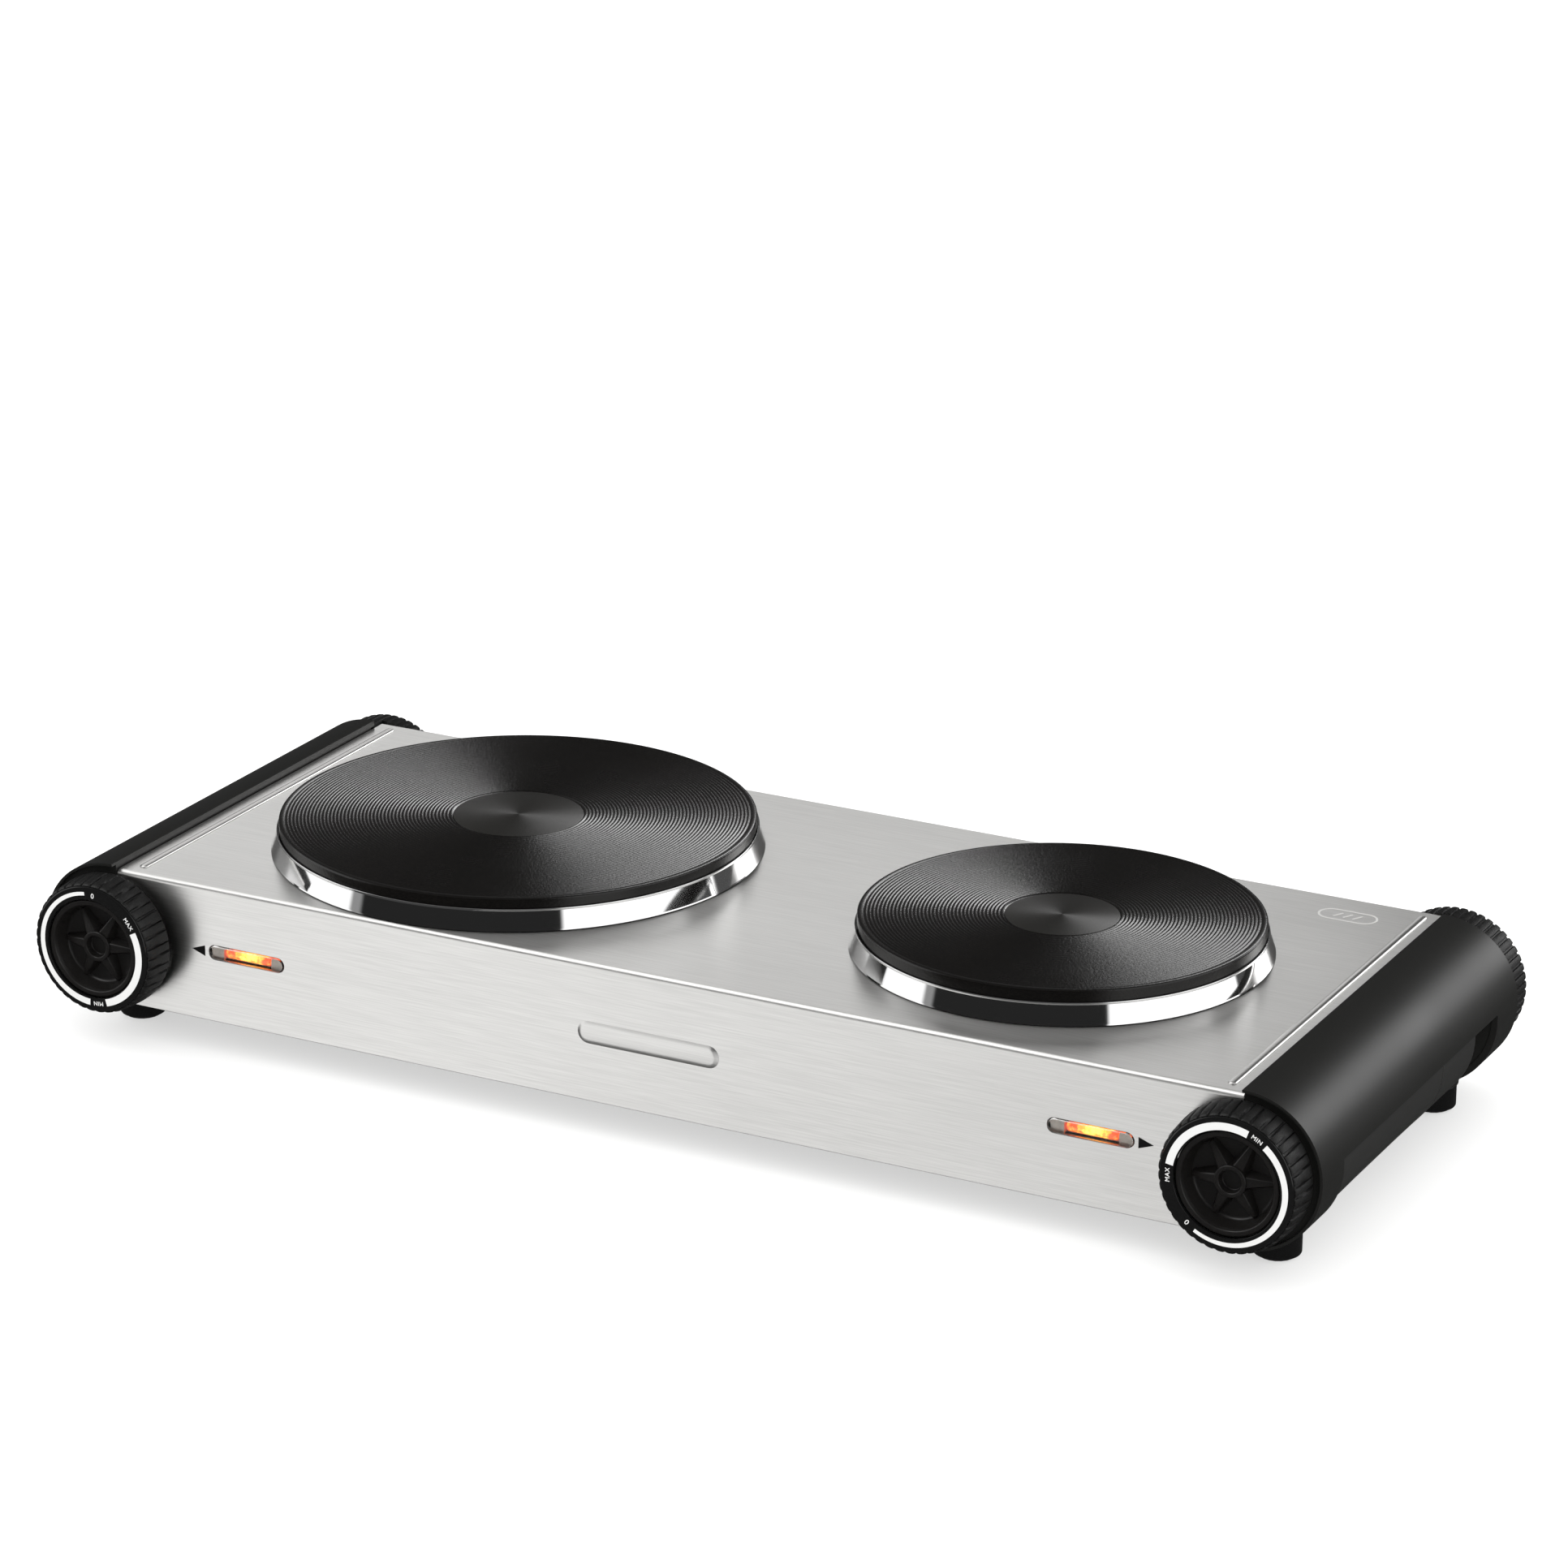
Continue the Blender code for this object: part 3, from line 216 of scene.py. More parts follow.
def look(name, colour, roughness, grain=400, dark=0.8, swing=0.05, bump=0.02 * MM, broad=12, tangent=None,
         **sockets):
    """A finish: fine grain sets its height and shade, broad patches its gloss, and tangent the way it is
    brushed. Other shader sockets are named with _ for a space."""
    made = bpy.data.materials.new(name)
    made.use_nodes = True
    tree = made.node_tree
    shader = tree.nodes["Principled BSDF"]
    fine = noise_of(tree, grain)
    patches = noise_of(tree, broad, 2.0)
    darker = tuple(c * dark for c in colour)
    link(tree, ramp_of(tree, fine, (darker, colour)), shader.inputs["Base Color"])
    gloss = range_of(tree, patches, NOISE_RANGE, roughness - swing, roughness + swing)
    link(tree, gloss, shader.inputs["Roughness"])
    raised = tree.nodes.new("ShaderNodeBump")
    raised.inputs["Distance"].default_value = bump
    link(tree, fine, raised.inputs["Height"])
    link(tree, raised.outputs["Normal"], shader.inputs["Normal"])
    for socket, value in sockets.items():
        shader.inputs[socket.replace("_", " ")].default_value = value
    if tangent == "along":
        lie = tree.nodes.new("ShaderNodeCombineXYZ")
        lie.inputs["X"].default_value = 1
    if tangent == "round":
        lie = tree.nodes.new("ShaderNodeTangent")
        lie.direction_type = "RADIAL"
        lie.axis = "Z"
    if tangent:
        link(tree, lie.outputs[0], shader.inputs["Tangent"])
        shader.inputs["Anisotropic Rotation"].default_value = 0.25
    return made


STEEL = look("brushed_steel", (0.66, 0.655, 0.64), 0.30, grain=(45, 2300, 2300), dark=0.87, swing=0.03,
             bump=0.022 * MM, broad=(3, 9, 9), tangent="along", Metallic=1.0, Anisotropic=0.6)
CHROME = look("polished_chrome", (0.86, 0.86, 0.86), 0.05, grain=60, dark=0.97, swing=0.015, bump=0.004 * MM,
              Metallic=1.0)
IRON = look("cast_iron", (0.006, 0.0051, 0.0043), 0.25, grain=1100, dark=0.5, swing=0.04, bump=0.06 * MM,
            broad=25, tangent="round", IOR=1.5, Anisotropic=0.6, Specular_IOR_Level=0.4)
HUB_IRON = look("cast_iron_hub", (0.016, 0.015, 0.013), 0.34, grain=1800, dark=0.7, swing=0.04, broad=30,
                tangent="round", IOR=1.5, Anisotropic=0.7, Specular_IOR_Level=0.4)
SATIN = look("satin_black", (0.014, 0.014, 0.013), 0.36, grain=2600, dark=0.7, swing=0.02, bump=0.006 * MM,
             broad=20, Specular_IOR_Level=0.35)
LINER = look("satin_black_liner", (0.024, 0.024, 0.023), 0.42, grain=2600, dark=0.75, swing=0.03,
             bump=0.01 * MM, broad=20, Specular_IOR_Level=0.5)
TREAD = look("textured_black", (0.011, 0.011, 0.0105), 0.52, grain=2000, dark=0.5, bump=0.13 * MM,
             Specular_IOR_Level=0.45)
BOWL = look("matte_black", (0.011, 0.0098, 0.009), 0.36, grain=2200, dark=0.6, bump=0.035 * MM)
GLOSS = look("gloss_black", (0.008, 0.008, 0.008), 0.14, grain=900, swing=0.03, bump=0.002 * MM,
             Specular_IOR_Level=0.3)
RUBBER = look("rubber", (0.03, 0.03, 0.03), 0.75, grain=1500, bump=0.04 * MM)
ZINC = look("zinc_steel", (0.55, 0.55, 0.53), 0.38, grain=180, dark=0.75, swing=0.08, bump=0.01 * MM,
            Metallic=1.0)
CERAMIC = look("ceramic", (0.78, 0.74, 0.67), 0.6, grain=900, dark=0.9, bump=0.03 * MM)
INSULATION = look("wire_insulation", (0.72, 0.68, 0.60), 0.6, grain=2500, dark=0.7, bump=0.06 * MM)
WHITE_PRINT = look("white_print", (0.86, 0.86, 0.85), 0.45, grain=2500, dark=0.96, bump=0.004 * MM)
BLACK_PRINT = look("black_print", (0.006, 0.006, 0.006), 0.5, grain=2500, bump=0.004 * MM)
PALE_PRINT = look("pale_print", (0.80, 0.79, 0.77), 0.4, grain=2500, dark=0.95, bump=0.004 * MM)
CLEAR = look("clear_lens", (0.98, 0.97, 0.96), 0.06, grain=(500, 900, 900), dark=0.9, swing=0.03,
             Transmission_Weight=1.0, IOR=1.47)


def make_glow():
    """A neon lamp: bright yellow in the middle, orange, then dull red at the ends."""
    made = look("neon_glow", (0.9, 0.35, 0.12), 0.3, grain=(300, 900, 900))
    tree = made.node_tree
    shader = tree.nodes["Principled BSDF"]
    flicker = noise_of(tree, (420, 700, 500), 3.0)
    place = tree.nodes.new("ShaderNodeTexCoord")
    apart = tree.nodes.new("ShaderNodeSeparateXYZ")
    link(tree, place.outputs["Object"], apart.inputs[0])
    from_middle = math_of(tree, "ABSOLUTE", apart.outputs["X"])
    cooling = range_of(tree, from_middle, (0, TUBE_HALF), 0.22, -0.25)
    warmth = math_of(tree, "ADD", flicker, cooling)
    hues = ramp_of(tree, warmth, ((0.35, 0.02, 0.004), (1.0, 0.20, 0.02), (1.0, 0.52, 0.08)))
    link(tree, hues, shader.inputs["Emission Color"])
    shader.inputs["Emission Strength"].default_value = 3.0
    return made


GLOW = make_glow()
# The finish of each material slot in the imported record
SLOT_LOOKS = {"brushed_steel": STEEL, "polished_chrome": CHROME, "cast_iron": IRON, "black_plastic": SATIN,
              "gloss_black_plastic": GLOSS, "rubber": RUBBER, "zinc_steel": ZINC, "ceramic": CERAMIC,
              "clear_lens": CLEAR, "neon_lamp": GLOW, "wire_insulation": INSULATION}


# ---------------------------------------------------------------- mesh helpers

def put(mesh, name, location=(0, 0, 0), rotation=(0, 0, 0)):
    """A new object; its mesh takes the rotation, so that its own axes stay along the world's."""
    mesh.transform(Euler(rotation).to_matrix().to_4x4())
    obj = bpy.data.objects.new(name, mesh)
    bpy.context.scene.collection.objects.link(obj)
    obj.location = location
    return obj


def mesh_of(bm, name):
    bmesh.ops.recalc_face_normals(bm, faces=bm.faces)
    mesh = bpy.data.meshes.new(name)
    bm.to_mesh(mesh)
    bm.free()
    return mesh


def plate(name, outline, thickness, location=(0, 0, 0), rotation=(0, 0, 0)):
    """A solid cut to an outline of (x, y) points, centred on its own plane."""
    bm = bmesh.new()
    base = bm.faces.new([bm.verts.new((x, y, -thickness / 2)) for x, y in outline])
    grown = bmesh.ops.extrude_face_region(bm, geom=[base])["geom"]
    bmesh.ops.translate(bm, verts=[v for v in grown if isinstance(v, bmesh.types.BMVert)],
                        vec=(0, 0, thickness))
    return put(mesh_of(bm, name), name, location, rotation)


def rod(name, radius, start, end, sides=48):
    """A round bar from one point to another."""
    start, end = Vector(start), Vector(end)
    circle = arc((0, 0), radius, 0, 2 * pi * (sides - 1) / sides, sides - 1)
    turn = (end - start).to_track_quat("Z", "Y").to_euler()
    return plate(name, circle, (end - start).length, (start + end) / 2, turn)


def block(name, low, high):
    """A box between two opposite corners."""
    low, high = Vector(low), Vector(high)
    half = (high - low) / 2
    outline = [(-half.x, -half.y), (half.x, -half.y), (half.x, half.y), (-half.x, half.y)]
    return plate(name, outline, 2 * half.z, (low + high) / 2)


def turns_of(count):
    """Angles spread evenly round a circle."""
    return [2 * pi * i / count for i in range(count)]


def wrap(bm, first, second):
    """A band of faces between two closed rows of vertices; triangles, where a row is a single point."""
    for i in range(len(first)):
        j = (i + 1) % len(first)
        bm.faces.new(dict.fromkeys((first[i], first[j], second[j], second[i])))


def lathe(name, profile, location, rotation=(0, 0, 0), turns=turns_of(128), depth=None):
    """A turned piece from (radius, height) pairs. A profile that starts off the axis closes into a ring.
    depth(column, row) takes a tread off the radius."""
    bm = bmesh.new()
    rows = []
    for row, (radius, height) in enumerate(profile):
        if radius == 0:
            rows.append([bm.verts.new((0, 0, height))] * len(turns))
            continue
        rows.append([])
        for column, angle in enumerate(turns):
            r = radius - (depth(column, row) if depth else 0)
            rows[-1].append(bm.verts.new((r * cos(angle), r * sin(angle), height)))
    if profile[0][0] > 0:
        rows.append(rows[0])
    for first, second in zip(rows, rows[1:]):
        wrap(bm, first, second)
    return put(mesh_of(bm, name), name, location, rotation)


def arc(centre, radius, start, end, steps):
    """Points along part of a circle."""
    angles = [start + (end - start) * i / steps for i in range(steps + 1)]
    return [(centre[0] + radius * cos(a), centre[1] + radius * sin(a)) for a in angles]


def pill(length, height, steps=12):
    """A bar outline with round ends."""
    r, reach = height / 2, (length - height) / 2
    return arc((reach, 0), r, -pi / 2, pi / 2, steps) + arc((-reach, 0), r, pi / 2, 3 * pi / 2, steps)


def softened(corners, closed=False, pieces=4):
    """Corners of a profile: (x, y) stays sharp and (x, y, radius) becomes an arc."""
    points = []
    for i, corner in enumerate(corners):
        here = Vector(corner[:2])
        if len(corner) < 3 or (not closed and i in (0, len(corners) - 1)):
            points.append(tuple(here))
            continue
        before = Vector(corners[i - 1][:2]) - here
        after = Vector(corners[(i + 1) % len(corners)][:2]) - here
        half = before.angle(after) / 2
        reach = min(corner[2] / tan(half), 0.48 * before.length, 0.48 * after.length)
        radius = reach * tan(half)
        centre = here + (before.normalized() + after.normalized()).normalized() * (radius / sin(half))
        start = here + before.normalized() * reach - centre
        end = here + after.normalized() * reach - centre
        for k in range(pieces + 1):
            points.append(tuple(centre + start.lerp(end, k / pieces).normalized() * radius))
    return points


def dome(name, length, width, crown, location, rotation=(0, 0, 0)):
    """A raised bar with round ends. crown is (inset, height) pairs, from its foot to its top."""
    bm = bmesh.new()
    rings = []
    for inset, height in crown:
        outline = pill(length - 2 * inset, width - 2 * inset)
        rings.append([bm.verts.new((x, y, height)) for x, y in outline])
    for first, second in zip(rings, rings[1:]):
        wrap(bm, first, second)
    bm.faces.new(rings[-1])
    bm.faces.new(reversed(rings[0]))
    return put(mesh_of(bm, name), name, location, rotation)


def outlined_bar(name, length, width, line, location):
    """A printed outline of a bar with round ends."""
    outer, inner = pill(length, width), pill(length - 2 * line, width - 2 * line)
    bm = bmesh.new()
    layers = [[[bm.verts.new((x, y, z)) for x, y in path] for path in (outer, inner)]
              for z in (-PRINT / 2, PRINT / 2)]
    for i in range(len(outer)):
        j = (i + 1) % len(outer)
        (low_out, low_in), (high_out, high_in) = layers
        bm.faces.new((high_out[i], high_out[j], high_in[j], high_in[i]))
        bm.faces.new((low_out[j], low_out[i], low_in[i], low_in[j]))
        bm.faces.new((low_out[i], low_out[j], high_out[j], high_out[i]))
        bm.faces.new((low_in[j], low_in[i], high_in[i], high_in[j]))
    return put(mesh_of(bm, name), name, location)


def bake(obj):
    """Turn an object's modifiers into mesh, and remove what they cut with."""
    bpy.context.view_layer.update()
    shape = obj.evaluated_get(bpy.context.evaluated_depsgraph_get())
    mesh = bpy.data.meshes.new_from_object(shape)
    others = [m.object for m in obj.modifiers if m.type == "BOOLEAN"]
    obj.modifiers.clear()
    obj.data = mesh
    for other in others:
        bpy.data.objects.remove(other)
    return obj


def combine(target, operation, *others):
    """Cut or join other objects with a target; bake makes it final."""
    for other in others:
        step = target.modifiers.new(other.name, "BOOLEAN")
        step.operation = operation
        step.object = other
        step.solver = "EXACT"
    return target


def cut(target, *others):
    return combine(target, "DIFFERENCE", *others)


def join(target, *others):
    return combine(target, "UNION", *others)


def smooth(obj, sharp=32):
    """Smooth shading, broken where two faces meet at more than sharp degrees."""
    bm = bmesh.new()
    bm.from_mesh(obj.data)
    bmesh.ops.dissolve_degenerate(bm, dist=0.001 * MM, edges=bm.edges)
    for face in bm.faces:
        face.smooth = True
    for edge in bm.edges:
        edge.smooth = len(edge.link_faces) == 2 and edge.calc_face_angle() < radians(sharp)
    bm.to_mesh(obj.data)
    bm.free()
    return obj


def dress(obj, body, material, slot, *stands_for, bevel=0.0, sharp=32):
    """Finish a piece: rounded edges, smooth shading, its material, its body and the solids it stands for."""
    bake(obj)
    smooth(obj, sharp)
    if bevel:
        edge = obj.modifiers.new("rounded_edges", "BEVEL")
        edge.width = bevel
        edge.segments = 2
        edge.limit_method = "ANGLE"
        edge.angle_limit = radians(sharp)
        edge.use_clamp_overlap = True
        even = obj.modifiers.new("even_shading", "WEIGHTED_NORMAL")
        even.keep_sharp = True
    obj.data.materials.clear()
    obj.data.materials.append(material)
    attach(obj, body)
    if stands_for:
        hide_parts(*stands_for)
    return obj


# ---------------------------------------------------------------- steel body

def burner_of(size):
    """Centre x, y, plate radius and face height of a burner."""
    low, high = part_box(f"{size}_hot_plate")
    return (low.x + high.x) / 2, (low.y + high.y) / 2, (high.x - low.x) / 2, high.z


def cover_section():
    """The folded sheet's cut edge, as (y, z) points: round folds at the top, open below."""
    half, thin = BODY_DEPTH / 2, FOLD_RADIUS - SHEET
    corner, top = half - FOLD_RADIUS, TOP_Z - FOLD_RADIUS
    fold = arc((corner, top), FOLD_RADIUS, 0, pi / 2, 10) + arc((-corner, top), FOLD_RADIUS, pi / 2, pi, 10)
    inner = arc((-corner, top), thin, pi, pi / 2, 10) + arc((corner, top), thin, pi / 2, 0, 10)
    feet = [(-half, BODY_BOTTOM_Z), (SHEET - half, BODY_BOTTOM_Z)]
    return [(half, BODY_BOTTOM_Z)] + fold + feet + inner + [(half - SHEET, BODY_BOTTOM_Z)]


def make_steel_body():
    body = plate("steel_body", cover_section(), 2 * HALF_LENGTH, (0, MIDDLE_Y, 0), ALONG_X)
    for size in HUB_RADII:
        x, y, radius, _ = burner_of(size)
        low, high = (x, y, TOP_Z - 5 * MM), (x, y, TOP_Z + 5 * MM)
        cut(body, rod(f"{size}_hole", radius - HOLE_INSET, low, high, 96))
    for side in (-1, 1):
        cut(body, plate(f"slot_{side}", pill(SLOT_LENGTH, SLOT_HEIGHT), 6 * MM,
                        (side * LAMP_X, FRONT_Y, LAMP_Z), FACES_FRONT))
        for radius, y in ((NOTCH_RADIUS, FRONT_Y), (REAR_NOTCH_RADIUS, REAR_Y)):
            start, end = (side * AXIS_X, y - 3 * MM, AXIS_Z), (side * AXIS_X, y + 3 * MM, AXIS_Z)
            cut(body, rod(f"notch_{side}_{y:.2f}", radius, start, end))
    cut(body, rod("cord_hole", CORD_RADIUS, (0, REAR_Y - 4 * MM, CORD_Z), (0, REAR_Y + 4 * MM, CORD_Z)))
    dress(body, CHASSIS, STEEL, "brushed_steel", "top_cover", bevel=0.35 * MM)


def make_end_bead(side, word):
    """The raised bead across each end of the steel top."""
    crown = [(0, -SUNK), (0, 0)]
    crown += [(1.7 * MM * (1 - cos(a)), BEAD_HEIGHT * sin(a)) for a in (radians(15 * k) for k in range(1, 6))]
    bead = dome(f"{word}_end_bead", BEAD_LENGTH, BEAD_WIDTH, crown, (side * BEAD_X, MIDDLE_Y, TOP_Z),
                (0, 0, pi / 2))
    dress(bead, CHASSIS, STEEL, "brushed_steel", sharp=60)


def make_badge():
    """A plain embossed bar in the middle of the front."""
    crown = [(0, -SUNK), (0, 0.02 * MM), (0.5 * MM, 0.2 * MM), (1.2 * MM, 0.45 * MM), (1.9 * MM, 0.55 * MM)]
    badge = dome("embossed_bar", BADGE_LENGTH, BADGE_HEIGHT, crown, (BADGE_X, FRONT_Y, AXIS_Z), FACES_FRONT)
    dress(badge, CHASSIS, STEEL, "brushed_steel", sharp=50)


def make_pointer(side, word):
    """The printed arrowhead beside each knob."""
    outline = [(side * POINTER_BASE_X, -POINTER_HALF), (side * POINTER_TIP_X, 0),
               (side * POINTER_BASE_X, POINTER_HALF)]
    pointer = plate(f"{word}_pointer", outline[::side], PRINT, (0, FRONT_Y - PRINT / 2, LAMP_Z), FACES_FRONT)
    dress(pointer, CHASSIS, BLACK_PRINT, "brushed_steel")


def make_top_mark():
    """A printed outline with three strokes, at the rear of the steel top."""
    place = Vector((TOP_MARK_X, TOP_MARK_Y, TOP_Z + PRINT / 2))
    ring = outlined_bar("top_mark", TOP_MARK_LENGTH, TOP_MARK_WIDTH, TOP_MARK_LINE, place)
    dress(ring, CHASSIS, PALE_PRINT, "brushed_steel")
    for k in (-1, 0, 1):
        bar = plate(f"top_mark_bar_{k + 1}", pill(5 * MM, TOP_MARK_LINE), PRINT,
                    place + Vector((4 * k * MM, 0, 0)), (0, 0, radians(60)))
        dress(bar, CHASSIS, PALE_PRINT, "brushed_steel")


# ---------------------------------------------------------------- burners

def make_plate(size, hub):
    """The cast-iron plate: a ringed face with a plain rim, and a skirt below the steel top."""
    x, y, rim, top = burner_of(size)
    face = top - TOP_Z
    seat, skirt = LIP_Z - 3 * MM, rim - SKIRT_INSET
    inner, outer = hub + 0.6 * MM, rim - RIM_BAND
    count = round((outer - inner) / GROOVE_PITCH)
    pitch = (outer - inner) / count
    grooves = []
    for k in range(4 * count):
        grooves.append((inner + pitch * k / 4, face - GROOVE_DEPTH / 2 * (1 - cos(pi / 2 * k))))
    start = [(0, face - HUB_SEAT), (hub - 0.2 * MM, face - HUB_SEAT)]
    edge = softened([(outer, face), (rim, face, 0.9 * MM), (rim, seat)], pieces=5)
    under = [(skirt, seat), (skirt, -PLATE_THICKNESS), (skirt - 4 * MM, -PLATE_THICKNESS),
             (skirt - 4 * MM, face - PLATE_THICKNESS), (0, face - PLATE_THICKNESS)]
    iron = lathe(f"{size}_plate_iron", start + grooves + edge + under, (x, y, TOP_Z), turns=turns_of(160))
    dress(iron, CHASSIS, IRON, "cast_iron", f"{size}_hot_plate", sharp=60)


def make_plate_hub(size, hub):
    """The smooth disc in the middle of the plate."""
    x, y, _, top = burner_of(size)
    face = top - TOP_Z
    edge = hub - GAP
    disc = softened([(0, face - HUB_DROP), (edge, face - HUB_DROP, 0.25 * MM), (edge, face - HUB_SEAT)])
    centre = lathe(f"{size}_plate_hub", disc + [(0, face - HUB_SEAT)], (x, y, TOP_Z))
    dress(centre, CHASSIS, HUB_IRON, "cast_iron", sharp=60)


def make_trim_ring(size):
    """The flared collar round the plate, with a ledge in under it."""
    x, y, rim, _ = burner_of(size)
    foot, wall = rim + RING_FLARE, rim + GAP
    ledge = LIP_Z - 3.3 * MM
    section = [(wall, ledge), (wall, LIP_Z, 0.3 * MM), (rim + 1.0 * MM, LIP_Z, 0.4 * MM),
               (rim + 0.8 * MM, LIP_Z - 0.9 * MM, 0.3 * MM), (foot - 0.2 * MM, GAP + 0.5 * MM, 0.4 * MM),
               (foot, GAP), (foot - 1.6 * MM, GAP), (wall, ledge - 1 * MM),
               (rim - LEDGE_REACH, ledge - 1 * MM), (rim - LEDGE_REACH, ledge)]
    ring = lathe(f"{size}_ring", softened(section, closed=True, pieces=5), (x, y, TOP_Z), turns=turns_of(160))
    dress(ring, CHASSIS, CHROME, "polished_chrome", f"{size}_trim_ring", sharp=40)


# ---------------------------------------------------------------- end handles

def grid_arc(radius, start, end):
    """Points round the knob axis from angle start down to end, on a shared angle grid."""
    low, high = ceil(end / ARC_STEP + 0.01), floor(start / ARC_STEP - 0.01)
    angles = [start] + [i * ARC_STEP for i in range(high, low - 1, -1)] + [end]
    return [(radius * cos(a), radius * sin(a)) for a in angles]


def end_section(radius, side, past=0.0):
    """The outer part of a disc, cut off where the steel body ends, or that far past it into the body."""
    lean = acos((WALL_X - AXIS_X) / radius)
    points = grid_arc(radius, lean, -lean)
    if past:
        x, z = points[0][0] - past, points[0][1]
        points += [(x, -z), (x, z)]
    return [(side * x, z) for x, z in points]


def hollow_section(side):
    """The finger hollow, between the upright wall, the bottom rail and the arched grip."""
    inner, far = SHELL_RADIUS - SHELL_WALL, WALL_X + SHELL_WALL - AXIS_X
    rail = BODY_BOTTOM_Z + 2 * MM - AXIS_Z
    outline = [(far, rail)] + grid_arc(inner, acos(far / inner), asin(rail / inner))
    return [(side * x, z) for x, z in outline]


def grip_cutouts(side):
    """Two cuts: one as deep as the wall beside the thermostat chamber, one right into the hollow."""
    edge, low, far = FLOOR_X - AXIS_X, -45 * MM, 45 * MM
    close = [(edge, low), (far, low), (far * cos(CUTOUT_TOP_ANGLE), far * sin(CUTOUT_TOP_ANGLE))]
    flank = grid_arc(INNER_RADIUS, CUTOUT_TOP_ANGLE, -acos(edge / INNER_RADIUS))
    inner = 26 * MM
    chord = [(inner * cos(CUTOUT_TOP_ANGLE), inner * sin(CUTOUT_TOP_ANGLE)), (edge, -24 * MM)]
    return [[(side * x, z) for x, z in points + close] for points in (flank, chord)]


def slab(name, outline, y_from, y_to, side):
    """An outline round the knob axis of one side, as a solid from one depth to another."""
    centre = (side * AXIS_X, (y_from + y_to) / 2, AXIS_Z)
    return plate(name, outline, y_to - y_from, centre, FACES_FRONT)


def make_end_handle(side, word):
    """The end moulding: open in front, with a finger hollow, a disc behind the knob and foot seats."""
    handle = slab(f"{word}_handle_shell", end_section(SHELL_RADIUS, side), SHELL_FRONT_Y, SHELL_REAR_Y, side)
    shallow, deep = grip_cutouts(side)
    mouth = end_section(SHELL_RADIUS - RIM_WALL, side, 3 * MM)
    recess = end_section(SHELL_RADIUS - SHELL_WALL, side, 3 * MM)
    cut(handle,
        slab(f"{word}_front_recess", mouth, SHELL_FRONT_Y - 2 * MM, FRONT_Y, side),
        slab(f"{word}_hollow", hollow_section(side), CHAMBER_END_Y, CUTOUT_END_Y, side),
        slab(f"{word}_deep", deep, CHAMBER_END_Y + 0.1 * MM, CUTOUT_END_Y - 0.5 * MM, side),
        slab(f"{word}_shallow", shallow, CUTOUT_START_Y, CHAMBER_END_Y + 1 * MM, side),
        slab(f"{word}_rear_recess", recess, SHELL_REAR_Y - SHELL_WALL, SHELL_REAR_Y + 2 * MM, side))
    half_disc = arc((0, 0), NOTCH_RADIUS - 0.4 * MM, pi / 2, 3 * pi / 2, 30)
    half_disc += [(1 * MM, -10 * MM), (1 * MM, 10 * MM)]
    pieces = [slab(f"{word}_disc", [(side * x, z) for x, z in half_disc], FRONT_Y + 0.2 * MM,
                   FRONT_Y + SHELL_WALL - 0.2 * MM, side)]
    for number, y in enumerate(FOOT_YS):
        start, end = (side * FOOT_X, y, FOOT_TOP_Z), (side * FOOT_X, y, BODY_BOTTOM_Z - GAP)
        pieces.append(rod(f"{word}_seat_{number}", FOOT_RADIUS + 0.6 * MM, start, end))
    join(handle, *pieces)
    dress(handle, CHASSIS, SATIN, "black_plastic", f"{word}_end_handle", bevel=0.4 * MM)


def liner_strip(name, side, radii, angles, y_from, y_to):
    """A curved strip round the handle's axis. Its lower edge arches up between its ends.
    radii are its outer and inner one; angles are its top, its bottom and the rise of the arch."""
    rows, columns = 24, 24
    top, low, arch = angles
    bm = bmesh.new()
    skins = []
    for radius in radii:
        skin = []
        for i in range(rows + 1):
            along = i / rows
            y = y_from + (y_to - y_from) * along
            end = low + arch * (1 - (2 * along - 1) ** 4)
            turns = [top + (end - top) * j / columns for j in range(columns + 1)]
            skin.append([bm.verts.new((side * (AXIS_X + radius * cos(a)), y, AXIS_Z + radius * sin(a)))
                         for a in turns])
        skins.append(skin)
    outer, inner = skins
    for skin in skins:
        for i in range(rows):
            for j in range(columns):
                bm.faces.new((skin[i][j], skin[i][j + 1], skin[i + 1][j + 1], skin[i + 1][j]))
    for i in range(rows):
        for j in (0, columns):
            bm.faces.new((outer[i][j], outer[i + 1][j], inner[i + 1][j], inner[i][j]))
    for j in range(columns):
        for i in (0, rows):
            bm.faces.new((outer[i][j], outer[i][j + 1], inner[i][j + 1], inner[i][j]))
    return put(mesh_of(bm, name), name)


def make_grip_liner(side, word):
    """The inset lower half of the grip: a hidden lining, and the strip that shows below the shell."""
    hidden, shown = SHELL_RADIUS - SHELL_WALL - GAP, SHELL_RADIUS - LINER_INSET
    lining = liner_strip(f"{word}_liner", side, (hidden, hidden - 2.2 * MM), (radians(40), radians(-23), 0),
                         CHAMBER_END_Y + GAP, LINER_END_Y)
    dress(lining, CHASSIS, LINER, "black_plastic", f"{word}_grip_liner", bevel=0.3 * MM, sharp=40)
    top, low = CUTOUT_TOP_ANGLE - radians(1.2), radians(-42)
    strips = (("front", radians(9), CUTOUT_START_Y + 1.2 * MM, LINER_JOINT_Y - LINER_JOINT_HALF),
              ("rear", 0, LINER_JOINT_Y + LINER_JOINT_HALF, LINER_END_Y))
    for place, arch, y_from, y_to in strips:
        strip = liner_strip(f"{word}_liner_{place}", side, (shown, hidden + 0.1 * MM), (top, low, arch),
                            y_from, y_to)
        dress(strip, CHASSIS, LINER, "black_plastic", bevel=0.3 * MM, sharp=40)


# ---------------------------------------------------------------- knobs and rear caps

